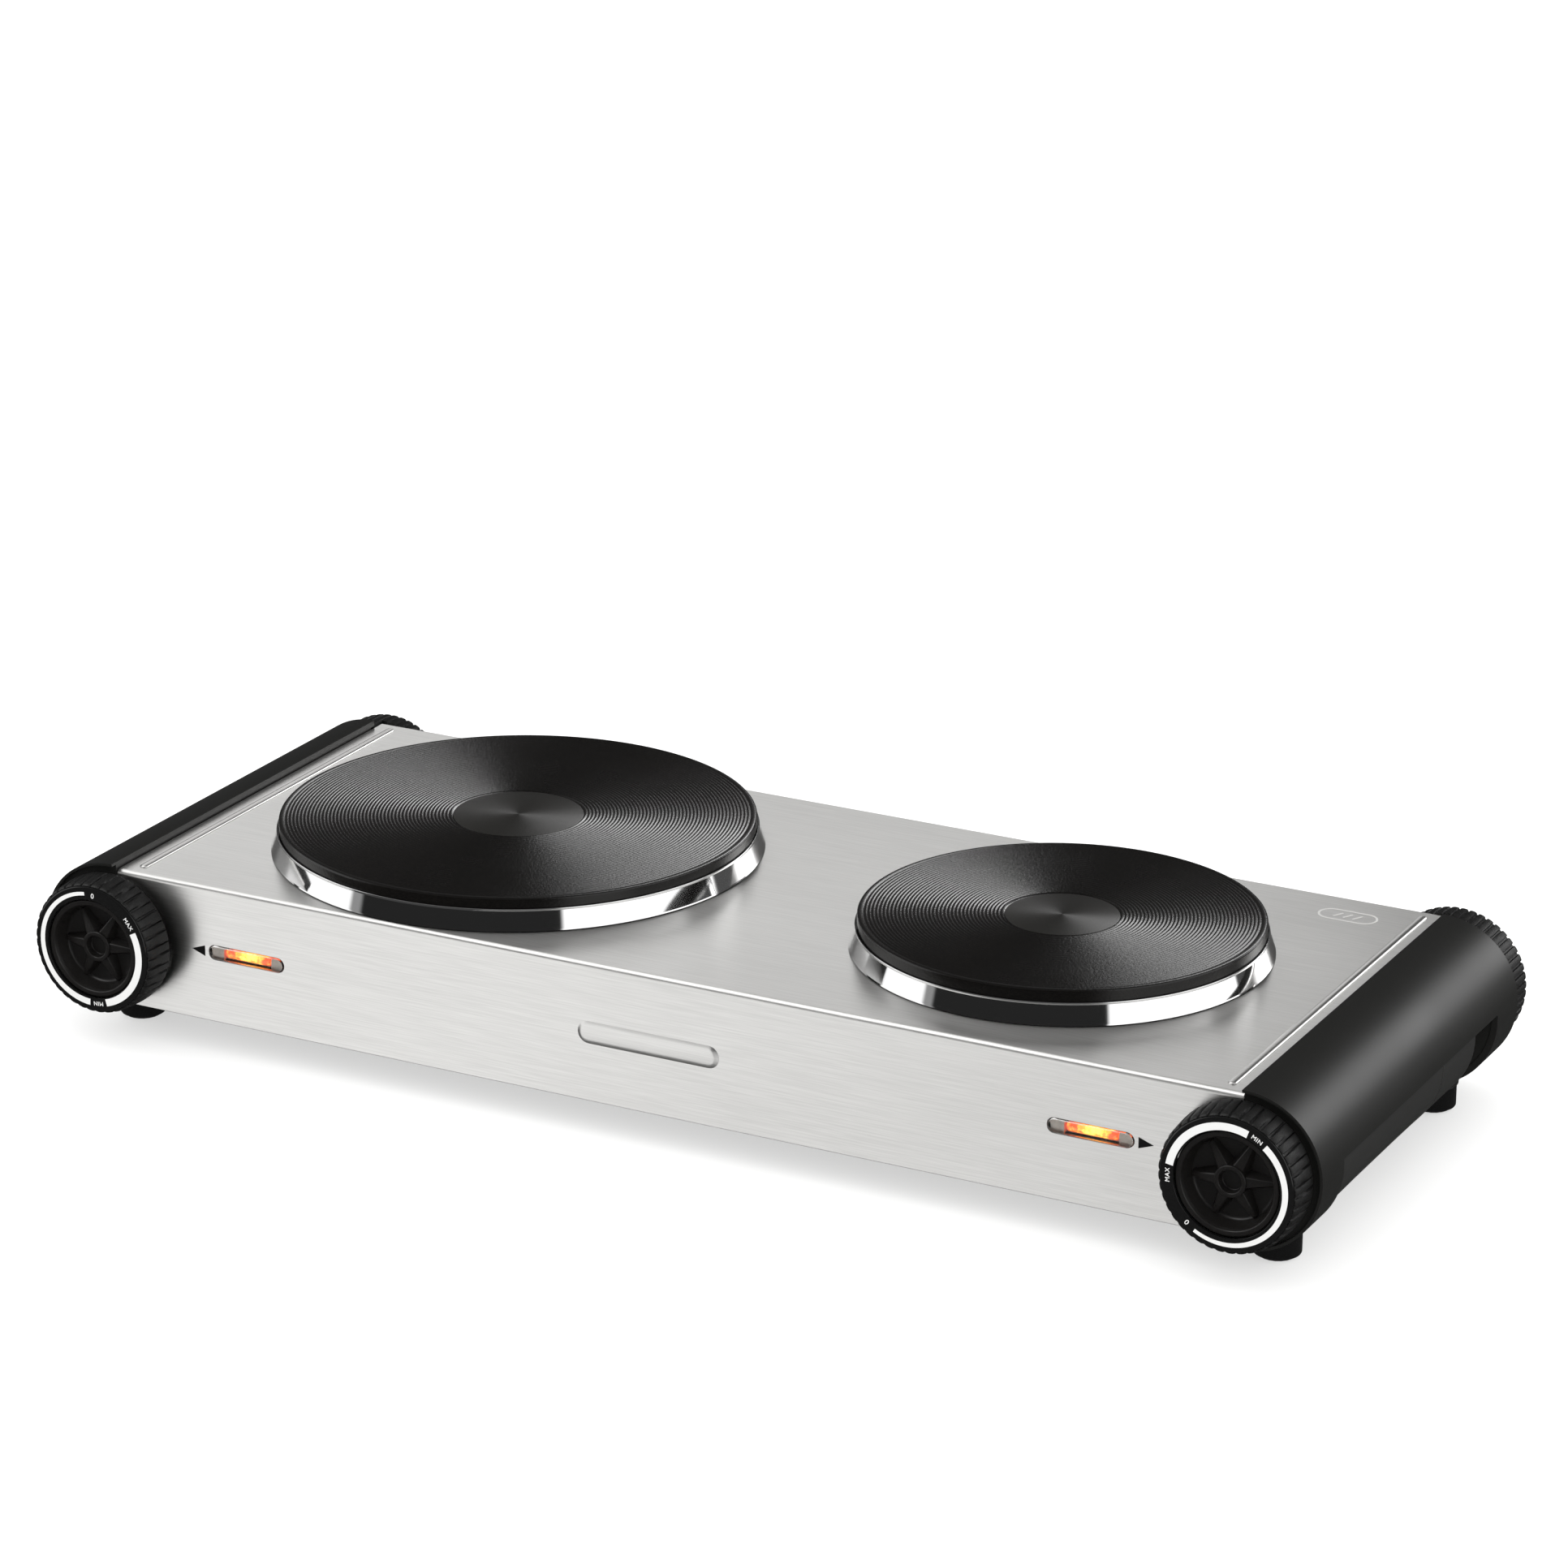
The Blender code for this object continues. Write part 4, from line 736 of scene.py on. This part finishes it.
# One rib and its groove: (share of the way round, share of the groove's depth)
RIB_SHAPE = ((0, 1), (0.1, 0.95), (0.17, 0.16), (0.3, 0.03), (0.5, 0), (0.7, 0.03), (0.83, 0.16), (0.9, 0.95))


def make_tread(name, rows, groove, ribs, place, facing):
    """A ribbed barrel. rows are (radius, height, depth share of long grooves, of short grooves)."""
    def depth(column, row):
        rib, part = divmod(column, len(RIB_SHAPE))
        return groove * RIB_SHAPE[part][1] * rows[row][2 + rib % 2]

    profile = [(radius, height) for radius, height, _, _ in rows]
    turns = [2 * pi * (k + share) / ribs for k in range(ribs) for share, _ in RIB_SHAPE]
    return lathe(name, profile, place, facing, turns, depth)


def make_star(name, floor_z, hub_z, tip_z, place, facing, turn):
    """Six spokes between hub and bowl wall, which taper upwards and outwards."""
    root, tip = STAR_HUB - 1 * MM, STAR_REACH - 0.9 * MM
    bm = bmesh.new()
    for k in range(6):
        spin = Matrix.Rotation(turn + k * pi / 3, 4, "Z")
        foot = ((root, 4.0 * MM, floor_z), (STAR_REACH, 1.7 * MM, floor_z))
        crest = ((root, 2.0 * MM, hub_z), (tip, 0.7 * MM, tip_z))
        low, high = [[bm.verts.new(spin @ Vector((r, way * half, z)))
                      for r, half, z in ends for way in (-1, 1)] for ends in (foot, crest)]
        bm.faces.new((low[0], low[1], low[3], low[2]))
        bm.faces.new((high[2], high[3], high[1], high[0]))
        for a, b in ((0, 1), (1, 3), (3, 2), (2, 0)):
            bm.faces.new((low[a], high[a], high[b], low[b]))
    return put(mesh_of(bm, name), name, place, facing)


def make_bowl(name, edge, lip, wall, floor_z, lip_z, hub_z, hole_z, place, facing):
    """A hollow face: a round lip, a steep wall, a floor that rises to the wall, and a tubular hub."""
    hub = STAR_HUB
    profile = [(0, hole_z), (hub - 1.7 * MM, hole_z, 0.5 * MM), (hub - 1.5 * MM, hub_z, 0.5 * MM),
               (hub + 0.2 * MM, hub_z, 0.5 * MM), (hub + 0.6 * MM, floor_z, 0.6 * MM),
               (wall - 1.4 * MM, floor_z + 0.6 * MM, 1.6 * MM), (wall, lip_z - 1.6 * MM, 0.8 * MM),
               (wall + 0.6 * MM, lip_z, 0.6 * MM), (lip, lip_z, 0.5 * MM), (lip + 0.3 * MM, lip_z - 0.9 * MM),
               (edge, lip_z - 0.9 * MM), (edge, floor_z - 1.2 * MM), (0, floor_z - 1.2 * MM)]
    return lathe(name, softened(profile), place, facing, turns_of(96))


def arc_band(name, start, end, width_from, width_to, place):
    """A printed arc, turning left from start to end in degrees; its outer edge keeps one radius."""
    outer, steps = SCALE_RADIUS, max(12, round((end - start) / 2))
    bm = bmesh.new()
    rings = []
    for i in range(steps + 1):
        share = i / steps
        angle = radians(start + (end - start) * share)
        inner = outer - (width_from + (width_to - width_from) * share)
        rings.append([bm.verts.new((r * cos(angle), r * sin(angle), z))
                      for r, z in ((outer, 0), (outer, PRINT), (inner, PRINT), (inner, 0))])
    for first, second in zip(rings, rings[1:]):
        wrap(bm, first, second)
    bm.faces.new(rings[0])
    bm.faces.new(rings[-1])
    return put(mesh_of(bm, name), name, place, FACES_FRONT)


def dial_word(name, text, angle, height, place):
    """A figure or word on the dial, at an angle in degrees, its top towards the rim."""
    words = bpy.data.curves.new(name, "FONT")
    words.body = text
    words.size = height
    words.align_x = "CENTER"
    words.align_y = "CENTER"
    words.extrude = PRINT / 2
    words.offset = 0.03 * MM
    words.space_character = 1.1
    drawn = bpy.data.objects.new(name + "_text", words)
    bpy.context.scene.collection.objects.link(drawn)
    bpy.context.view_layer.update()
    mesh = bpy.data.meshes.new_from_object(drawn.evaluated_get(bpy.context.evaluated_depsgraph_get()))
    bpy.data.objects.remove(drawn)
    turn = Matrix.Rotation(radians(angle - 90), 4, "Z") @ Matrix.Translation((0, TEXT_RADIUS, PRINT / 2))
    mesh.transform(turn)
    return put(mesh, name, place, FACES_FRONT)


def make_knob(side, word, star_turn):
    """What turns as one: a ribbed barrel, its hollow face with a star of spokes, and the scale ring."""
    place = (side * AXIS_X, FRONT_Y, AXIS_Z)
    body = f"{word}_dial"
    k = KNOB_RADIUS
    rows = [(BARREL_INSIDE, KNOB_BACK, 0, 0), (k - 0.5 * MM, KNOB_BACK, 0, 0),
            (k - 0.1 * MM, 3.7 * MM, 0.7, 0), (k, 4.4 * MM, 1, 0), (k, 7 * MM, 1, 0),
            (k - 0.1 * MM, 9 * MM, 1, 0.1), (k - 0.15 * MM, 10.4 * MM, 1, 0.8),
            (k - 0.3 * MM, 12.5 * MM, 1, 1), (k - 0.5 * MM, 15 * MM, 1, 1),
            (k - 0.8 * MM, 16 * MM, 0.9, 0.9), (k - 1.2 * MM, 16.6 * MM, 0.5, 0.5),
            (BARREL_MOUTH, 16.7 * MM, 0, 0), (BARREL_MOUTH, 15.2 * MM, 0, 0),
            (BARREL_INSIDE, 15.2 * MM, 0, 0)]
    tread = make_tread(f"{word}_knob_tread", rows, 1.0 * MM, KNOB_RIBS, place, FACES_FRONT)
    dress(tread, body, TREAD, "black_plastic", f"{word}_knob", sharp=50)
    shaft_end = FRONT_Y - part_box(f"{word}_knob_shaft")[0].y
    bowl = make_bowl(f"{word}_knob_bowl", edge=20.1 * MM, lip=19.6 * MM, wall=17.2 * MM, floor_z=9.0 * MM,
                     lip_z=16.6 * MM, hub_z=14.2 * MM, hole_z=max(10.5 * MM, shaft_end + GAP), place=place,
                     facing=FACES_FRONT)
    dress(bowl, body, BOWL, "black_plastic", sharp=50)
    star = make_star(f"{word}_knob_star", 8.8 * MM, 13.6 * MM, 11.4 * MM, place, FACES_FRONT,
                     radians(star_turn))
    dress(star, body, BOWL, "black_plastic", bevel=0.35 * MM)
    section = softened([(RING_INSIDE, RING_BACK), (RING_INSIDE, KNOB_FACE, 0.3 * MM),
                        (RING_OUTSIDE, KNOB_FACE, 0.7 * MM), (RING_OUTSIDE, RING_BACK)], closed=True)
    face = lathe(f"{word}_dial_face", section, place, FACES_FRONT)
    dress(face, body, GLOSS, "gloss_black_plastic", f"{word}_dial_ring", sharp=50)


def make_scale(side, word, zero):
    """What is printed on the scale ring. zero is the angle of the 0 mark, seen from the front, turning left
    from the right-hand side."""
    place = (side * AXIS_X, FRONT_Y - KNOB_FACE - 0.01 * MM, AXIS_Z)
    prints = [arc_band(f"{word}_low_scale", zero + 9.5, zero + 180.5, 1.4 * MM, 2.6 * MM, place),
              arc_band(f"{word}_high_scale", zero + 200, zero + 301, 2.9 * MM, 2.9 * MM, place),
              dial_word(f"{word}_zero", "0", zero, 2.9 * MM, place),
              dial_word(f"{word}_min", "MIN", zero + 190.3, 2.4 * MM, place),
              dial_word(f"{word}_max", "MAX", zero + 311.5, 2.4 * MM, place)]
    for mark in prints:
        dress(mark, f"{word}_dial", WHITE_PRINT, "gloss_black_plastic", sharp=40)


def make_rear_cap(side, word):
    """The fixed wheel on the rear end, the same moulding as a knob but with no scale."""
    place = (side * AXIS_X, CAP_LOW.y, AXIS_Z)
    depth = CAP_HIGH.y - CAP_LOW.y
    r = (CAP_HIGH.z - CAP_LOW.z) / 2
    inside, face, back = 22 * MM, depth - 0.3 * MM, depth - 1.6 * MM
    rows = [(inside, 0, 0, 0), (r - 0.3 * MM, 0, 0, 0), (r - 0.1 * MM, 0.4 * MM, 1, 1), (r, 1.2 * MM, 1, 1),
            (r, depth - 2.2 * MM, 1, 1), (r - 0.3 * MM, depth - 1.0 * MM, 0.9, 0.9),
            (r - 1.0 * MM, face, 0.5, 0.5), (BARREL_MOUTH, face, 0, 0), (BARREL_MOUTH, back, 0, 0),
            (inside, back, 0, 0)]
    tread = make_tread(f"{word}_cap_tread", rows, 0.9 * MM, CAP_RIBS, place, FACES_REAR)
    x_from, x_to = sorted((side * 180 * MM, side * (WALL_X + 0.4 * MM)))
    room = block("body_room", (x_from, REAR_Y - 20 * MM, 0), (x_to, REAR_Y + GAP, TOP_Z + 20 * MM))
    cut(tread, room)
    dress(tread, CHASSIS, TREAD, "black_plastic", f"{word}_rear_cap", sharp=50)
    bowl = make_bowl(f"{word}_cap_bowl", edge=25.6 * MM, lip=18.9 * MM, wall=17.0 * MM,
                     floor_z=depth - 4.0 * MM, lip_z=depth - 0.2 * MM, hub_z=depth - 0.8 * MM,
                     hole_z=depth - 3.0 * MM, place=place, facing=FACES_REAR)
    dress(bowl, CHASSIS, BOWL, "black_plastic", sharp=50)
    star = make_star(f"{word}_cap_star", depth - 4.2 * MM, depth - 1.3 * MM, depth - 2.4 * MM, place,
                     FACES_REAR, 0)
    dress(star, CHASSIS, BOWL, "black_plastic", bevel=0.3 * MM)


# ---------------------------------------------------------------- lamps and feet

def make_lamp(side, word):
    """A clear lens in its slot, a pale tray with two end blocks behind it, and the neon tube."""
    x = side * LAMP_X
    place = (x, FRONT_Y, LAMP_Z)
    length, height = SLOT_LENGTH - 0.5 * MM, SLOT_HEIGHT - 0.5 * MM
    crown = [(0, -1.6 * MM), (0, 0.1 * MM), (0.15 * MM, 0.4 * MM), (0.5 * MM, 0.62 * MM),
             (1.2 * MM, 0.7 * MM)]
    lens = dome(f"{word}_lens", length, height, crown, place, FACES_FRONT)
    dress(lens, CHASSIS, CLEAR, "clear_lens", f"{word}_lamp_lens", sharp=50)
    steps = [(0, -TRAY_BACK), (0, -TRAY_FACE - 0.2 * MM), (0.4 * MM, -TRAY_FACE)]
    tray = dome(f"{word}_lamp_tray", length + TRAY_MARGIN, height + TRAY_MARGIN, steps, place, FACES_FRONT)
    for way in (-1, 1):
        x_from, x_to = sorted((x + way * (length / 2 - 6 * MM), x + way * (length / 2 - 0.6 * MM)))
        low = (x_from, FRONT_Y + 1.9 * MM, LAMP_Z - height / 2)
        high = (x_to, FRONT_Y + TRAY_FACE + 0.4 * MM, LAMP_Z + height / 2)
        join(tray, block(f"{word}_lamp_end_{way}", low, high))
    dress(tray, CHASSIS, CERAMIC, "clear_lens", bevel=0.2 * MM, sharp=50)
    profile = softened([(0, TUBE_HALF), (TUBE_RADIUS, TUBE_HALF, 1.2 * MM),
                        (TUBE_RADIUS, -TUBE_HALF, 1.2 * MM), (0, -TUBE_HALF)])
    tube = lathe(f"{word}_neon_tube", profile, (x, FRONT_Y + TUBE_DEPTH, LAMP_Z), (0, pi / 2, 0),
                 turns_of(24))
    dress(tube, CHASSIS, GLOW, "neon_lamp", f"{word}_neon_lamp", sharp=50)


def make_foot(side, word, y, row):
    """A round foot, hollow below, where its rubber pad sits."""
    top, low = FOOT_TOP_Z - GAP, 0.9 * MM
    profile = softened([(0, top), (FOOT_RADIUS, top, 0.3 * MM), (FOOT_RADIUS, low, 0.9 * MM),
                        (RECESS_RADIUS, low), (RECESS_RADIUS, RECESS_TOP_Z), (0, RECESS_TOP_Z)])
    foot = lathe(f"{row}_{word}_foot_body", profile, (side * FOOT_X, y, 0))
    dress(foot, CHASSIS, GLOSS, "black_plastic", f"{row}_{word}_foot", sharp=50)


# ---------------------------------------------------------------- the other solids

def dress_frame():
    """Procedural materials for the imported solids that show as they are."""
    slots = {row["node"]: row["material_slot"] for row in frame["record"]["subparts"]}
    for name, obj in frame["nodes"].items():
        obj.data.materials.clear()
        obj.data.materials.append(SLOT_LOOKS[slots[name]])


# ---------------------------------------------------------------- stage

def make_floor():
    """A wide pale floor, which is not mirrored in the object and casts no shadow."""
    bm = bmesh.new()
    bmesh.ops.create_grid(bm, x_segments=1, y_segments=1, size=12)
    floor_obj = put(mesh_of(bm, "floor"), "floor")
    made = look("pale_floor", (0.86, 0.86, 0.855), 0.9, grain=3, dark=0.99, bump=0.0,
                Specular_IOR_Level=0.0)
    floor_obj.data.materials.append(made)
    floor_obj.visible_glossy = False
    floor_obj.visible_shadow = False


# What shiny surfaces mirror, by azimuth from +X towards +Y, in degrees. Later panels lie over earlier ones.
PANELS = (
    # azimuth from, to, elevation from, to, brightness, soft edge
    (-200, 200, -90, -8, 0.06, 6),
    (-190, -142, -9, 40, 1.2, 3),
    (-136, -40, -9, 38, 0.02, 3),
    (-40, 41, -9, 45, 1.35, 3),
    (41, 56, -9, 28, 0.08, 3),
    (84, 152, -9, 62, 0.08, 6),
    (-200, 200, 58, 120, 0.10, 8),
    (57, 78, 6, 27, 3.7, 8),
)
LARGE_PLATE, SMALL_PLATE = [(f"{size}_plate_iron", f"{size}_plate_hub") for size in HUB_RADII]
BEADS = [f"{word}_end_bead" for word in SIDES]
STEEL_SHEET = ["steel_body", *BEADS, "embossed_bar"]
KNOBS = [f"{word}_knob_{piece}" for piece in ("bowl", "star", "tread") for word in SIDES]
HANDLES = [f"{word}_{piece}" for piece in ("handle_shell", "liner_front", "liner_rear") for word in SIDES]
# What lights only some of the pieces: azimuth, elevation, distance, width, height, power, pieces
SOFTBOXES = {
    "steel_top_light": (123, 24, 4, 2.2, 1.6, 11.5, STEEL_SHEET),
    "steel_fold_light": (-150, 58, 4, 2.6, 2.2, 34, STEEL_SHEET),
    "steel_edge_light": (150, 54, 4, 2.0, 2.0, 14, STEEL_SHEET),
    "steel_front_light": (-123, -10, 4, 2.7, 4.0, 44, STEEL_SHEET),
    "steel_front_side_light": (-66, -22, 4, 5.0, 3.0, 45, STEEL_SHEET),
    "steel_rear_light": (90, -22, 4, 8.0, 3.2, 80, STEEL_SHEET),
    "steel_overhead_light": (-90, 82, 4, 3.5, 3.5, 34, STEEL_SHEET),
    "steel_bead_light": (68, 24, 4, 1.4, 1.6, 14, STEEL_SHEET),
    "bead_light": (60, 30, 4, 2.0, 2.0, 20, BEADS),
    "knob_light": (-135, 50, 3, 1.2, 1.2, 22, KNOBS),
    "large_plate_light": (99, 42, 6, 1.6, 4.4, 150, LARGE_PLATE),
    "small_plate_light": (95, 37, 6, 1.6, 3.4, 112, SMALL_PLATE),
    "handle_edge_light": (-42, 36, 4, 1.6, 1.6, 70, HANDLES),
    "large_side_light": (106, 23, 6, 2.0, 1.4, 14, LARGE_PLATE),
    "small_side_light": (104, 24, 6, 1.2, 1.0, 2, SMALL_PLATE),
}
BASE_MIRROR = 0.3                   # what mirrors where there is no panel
AMBIENT = 0.98                      # the room, for all that does not mirror
FLOOR_FILL = 2.0
CAMERA_PLACE = (0.9149, -1.7468, 0.8220)
CAMERA_TURN = (27.51, 19.74, 0.24)  # round Z, downwards and roll, in degrees
CAMERA_LENS = 126.05


def window(tree, angle, low, high, soft):
    """1 where an angle in degrees lies between low and high, fading over soft degrees."""
    rise = range_of(tree, angle, (low - soft / 2, low + soft / 2), 0, 1, "SMOOTHSTEP")
    fall = range_of(tree, angle, (high + soft / 2, high - soft / 2), 0, 1, "SMOOTHSTEP")
    return math_of(tree, "MULTIPLY", rise, fall)


def degrees_of(tree, operation, *sources):
    """The angle that a math node gives, in degrees."""
    return math_of(tree, "MULTIPLY", math_of(tree, operation, *sources), 180 / pi)


def make_world():
    """A white room for diffuse light, and a studio of pale and dark panels for what mirrors."""
    world = bpy.data.worlds.new("studio")
    bpy.context.scene.world = world
    world.use_nodes = True
    world.cycles.sampling_method = "NONE"
    tree = world.node_tree
    place = tree.nodes.new("ShaderNodeTexCoord")
    split = tree.nodes.new("ShaderNodeSeparateXYZ")
    link(tree, place.outputs["Generated"], split.inputs[0])
    azimuth = degrees_of(tree, "ARCTAN2", split.outputs["Y"], split.outputs["X"])
    elevation = degrees_of(tree, "ARCSINE", split.outputs["Z"])
    value = None
    for az_from, az_to, el_from, el_to, brightness, soft in PANELS:
        middle = (az_from + az_to) / 2
        turned = math_of(tree, "WRAP", azimuth, middle + 180, middle - 180)
        across = window(tree, turned, az_from, az_to, soft)
        upright = window(tree, elevation, el_from, el_to, soft)
        blend = tree.nodes.new("ShaderNodeMix")
        blend.inputs["A"].default_value = BASE_MIRROR
        blend.inputs["B"].default_value = brightness
        link(tree, math_of(tree, "MULTIPLY", across, upright), blend.inputs["Factor"])
        if value is not None:
            link(tree, value, blend.inputs["A"])
        value = blend.outputs["Result"]
    rays = tree.nodes.new("ShaderNodeLightPath")
    choice = tree.nodes.new("ShaderNodeMix")
    choice.inputs["A"].default_value = AMBIENT
    link(tree, rays.outputs["Is Glossy Ray"], choice.inputs["Factor"])
    link(tree, value, choice.inputs["B"])
    link(tree, choice.outputs["Result"], tree.nodes["Background"].inputs["Strength"])
    tree.nodes["Background"].inputs["Color"].default_value = (1, 1, 1, 1)


def add_lamp(name, kind, power, targets):
    """A lamp that lights only the named pieces."""
    lamp = bpy.data.lights.new(name, kind)
    lamp.energy = power
    obj = bpy.data.objects.new(name, lamp)
    bpy.context.scene.collection.objects.link(obj)
    group = bpy.data.collections.new(name + "_targets")
    for target in targets:
        group.objects.link(bpy.data.objects[target])
    obj.light_linking.receiver_collection = group
    return obj


def make_softbox(name, azimuth, elevation, distance, width, height, power, targets):
    """A panel of light aimed at the object."""
    obj = add_lamp(name, "AREA", power, targets)
    obj.data.shape = "RECTANGLE"
    obj.data.size = width
    obj.data.size_y = height
    a, e = radians(azimuth), radians(elevation)
    away = Vector((cos(a) * cos(e), sin(a) * cos(e), sin(e)))
    obj.location = Vector((0, 0, TOP_Z)) + away * distance
    obj.rotation_euler = away.to_track_quat("Z", "Y").to_euler()


def make_floor_fill():
    """A plain light on the floor alone, which keeps the shadows on it soft and pale."""
    add_lamp("floor_fill", "SUN", FLOOR_FILL, ["floor"]).data.use_shadow = False


def make_camera():
    """Seen from the front right and a little above."""
    around, down, roll = (radians(angle) for angle in CAMERA_TURN)
    lens = bpy.data.cameras.new("camera")
    lens.sensor_width = 36
    lens.lens = CAMERA_LENS
    lens.clip_end = 100
    obj = bpy.data.objects.new("camera", lens)
    bpy.context.scene.collection.objects.link(obj)
    obj.location = CAMERA_PLACE
    obj.rotation_euler = (Matrix.Rotation(around, 4, "Z") @ Matrix.Rotation(pi / 2 - down, 4, "X")
                          @ Matrix.Rotation(roll, 4, "Z")).to_euler()
    bpy.context.scene.camera = obj


# ---------------------------------------------------------------- the whole scene

dress_frame()
make_steel_body()
for hand, sign in SIDES.items():
    make_end_bead(sign, hand)
make_badge()
for hand, sign in SIDES.items():
    make_pointer(sign, hand)
make_top_mark()
for burner, hub_radius in HUB_RADII.items():
    make_plate(burner, hub_radius)
    make_plate_hub(burner, hub_radius)
    make_trim_ring(burner)
for hand, sign in SIDES.items():
    make_end_handle(sign, hand)
    make_grip_liner(sign, hand)
    make_knob(sign, hand, SPOKE_TURNS[hand])
    make_scale(sign, hand, ZERO_MARKS[hand])
    make_rear_cap(sign, hand)
    make_lamp(sign, hand)
    for foot_y, end_word in zip(FOOT_YS, ("front", "rear")):
        make_foot(sign, hand, foot_y, end_word)
make_floor()
make_world()
for light_name, settings in SOFTBOXES.items():
    make_softbox(light_name, *settings)
make_floor_fill()
make_camera()
bpy.context.scene.view_settings.view_transform = "Standard"
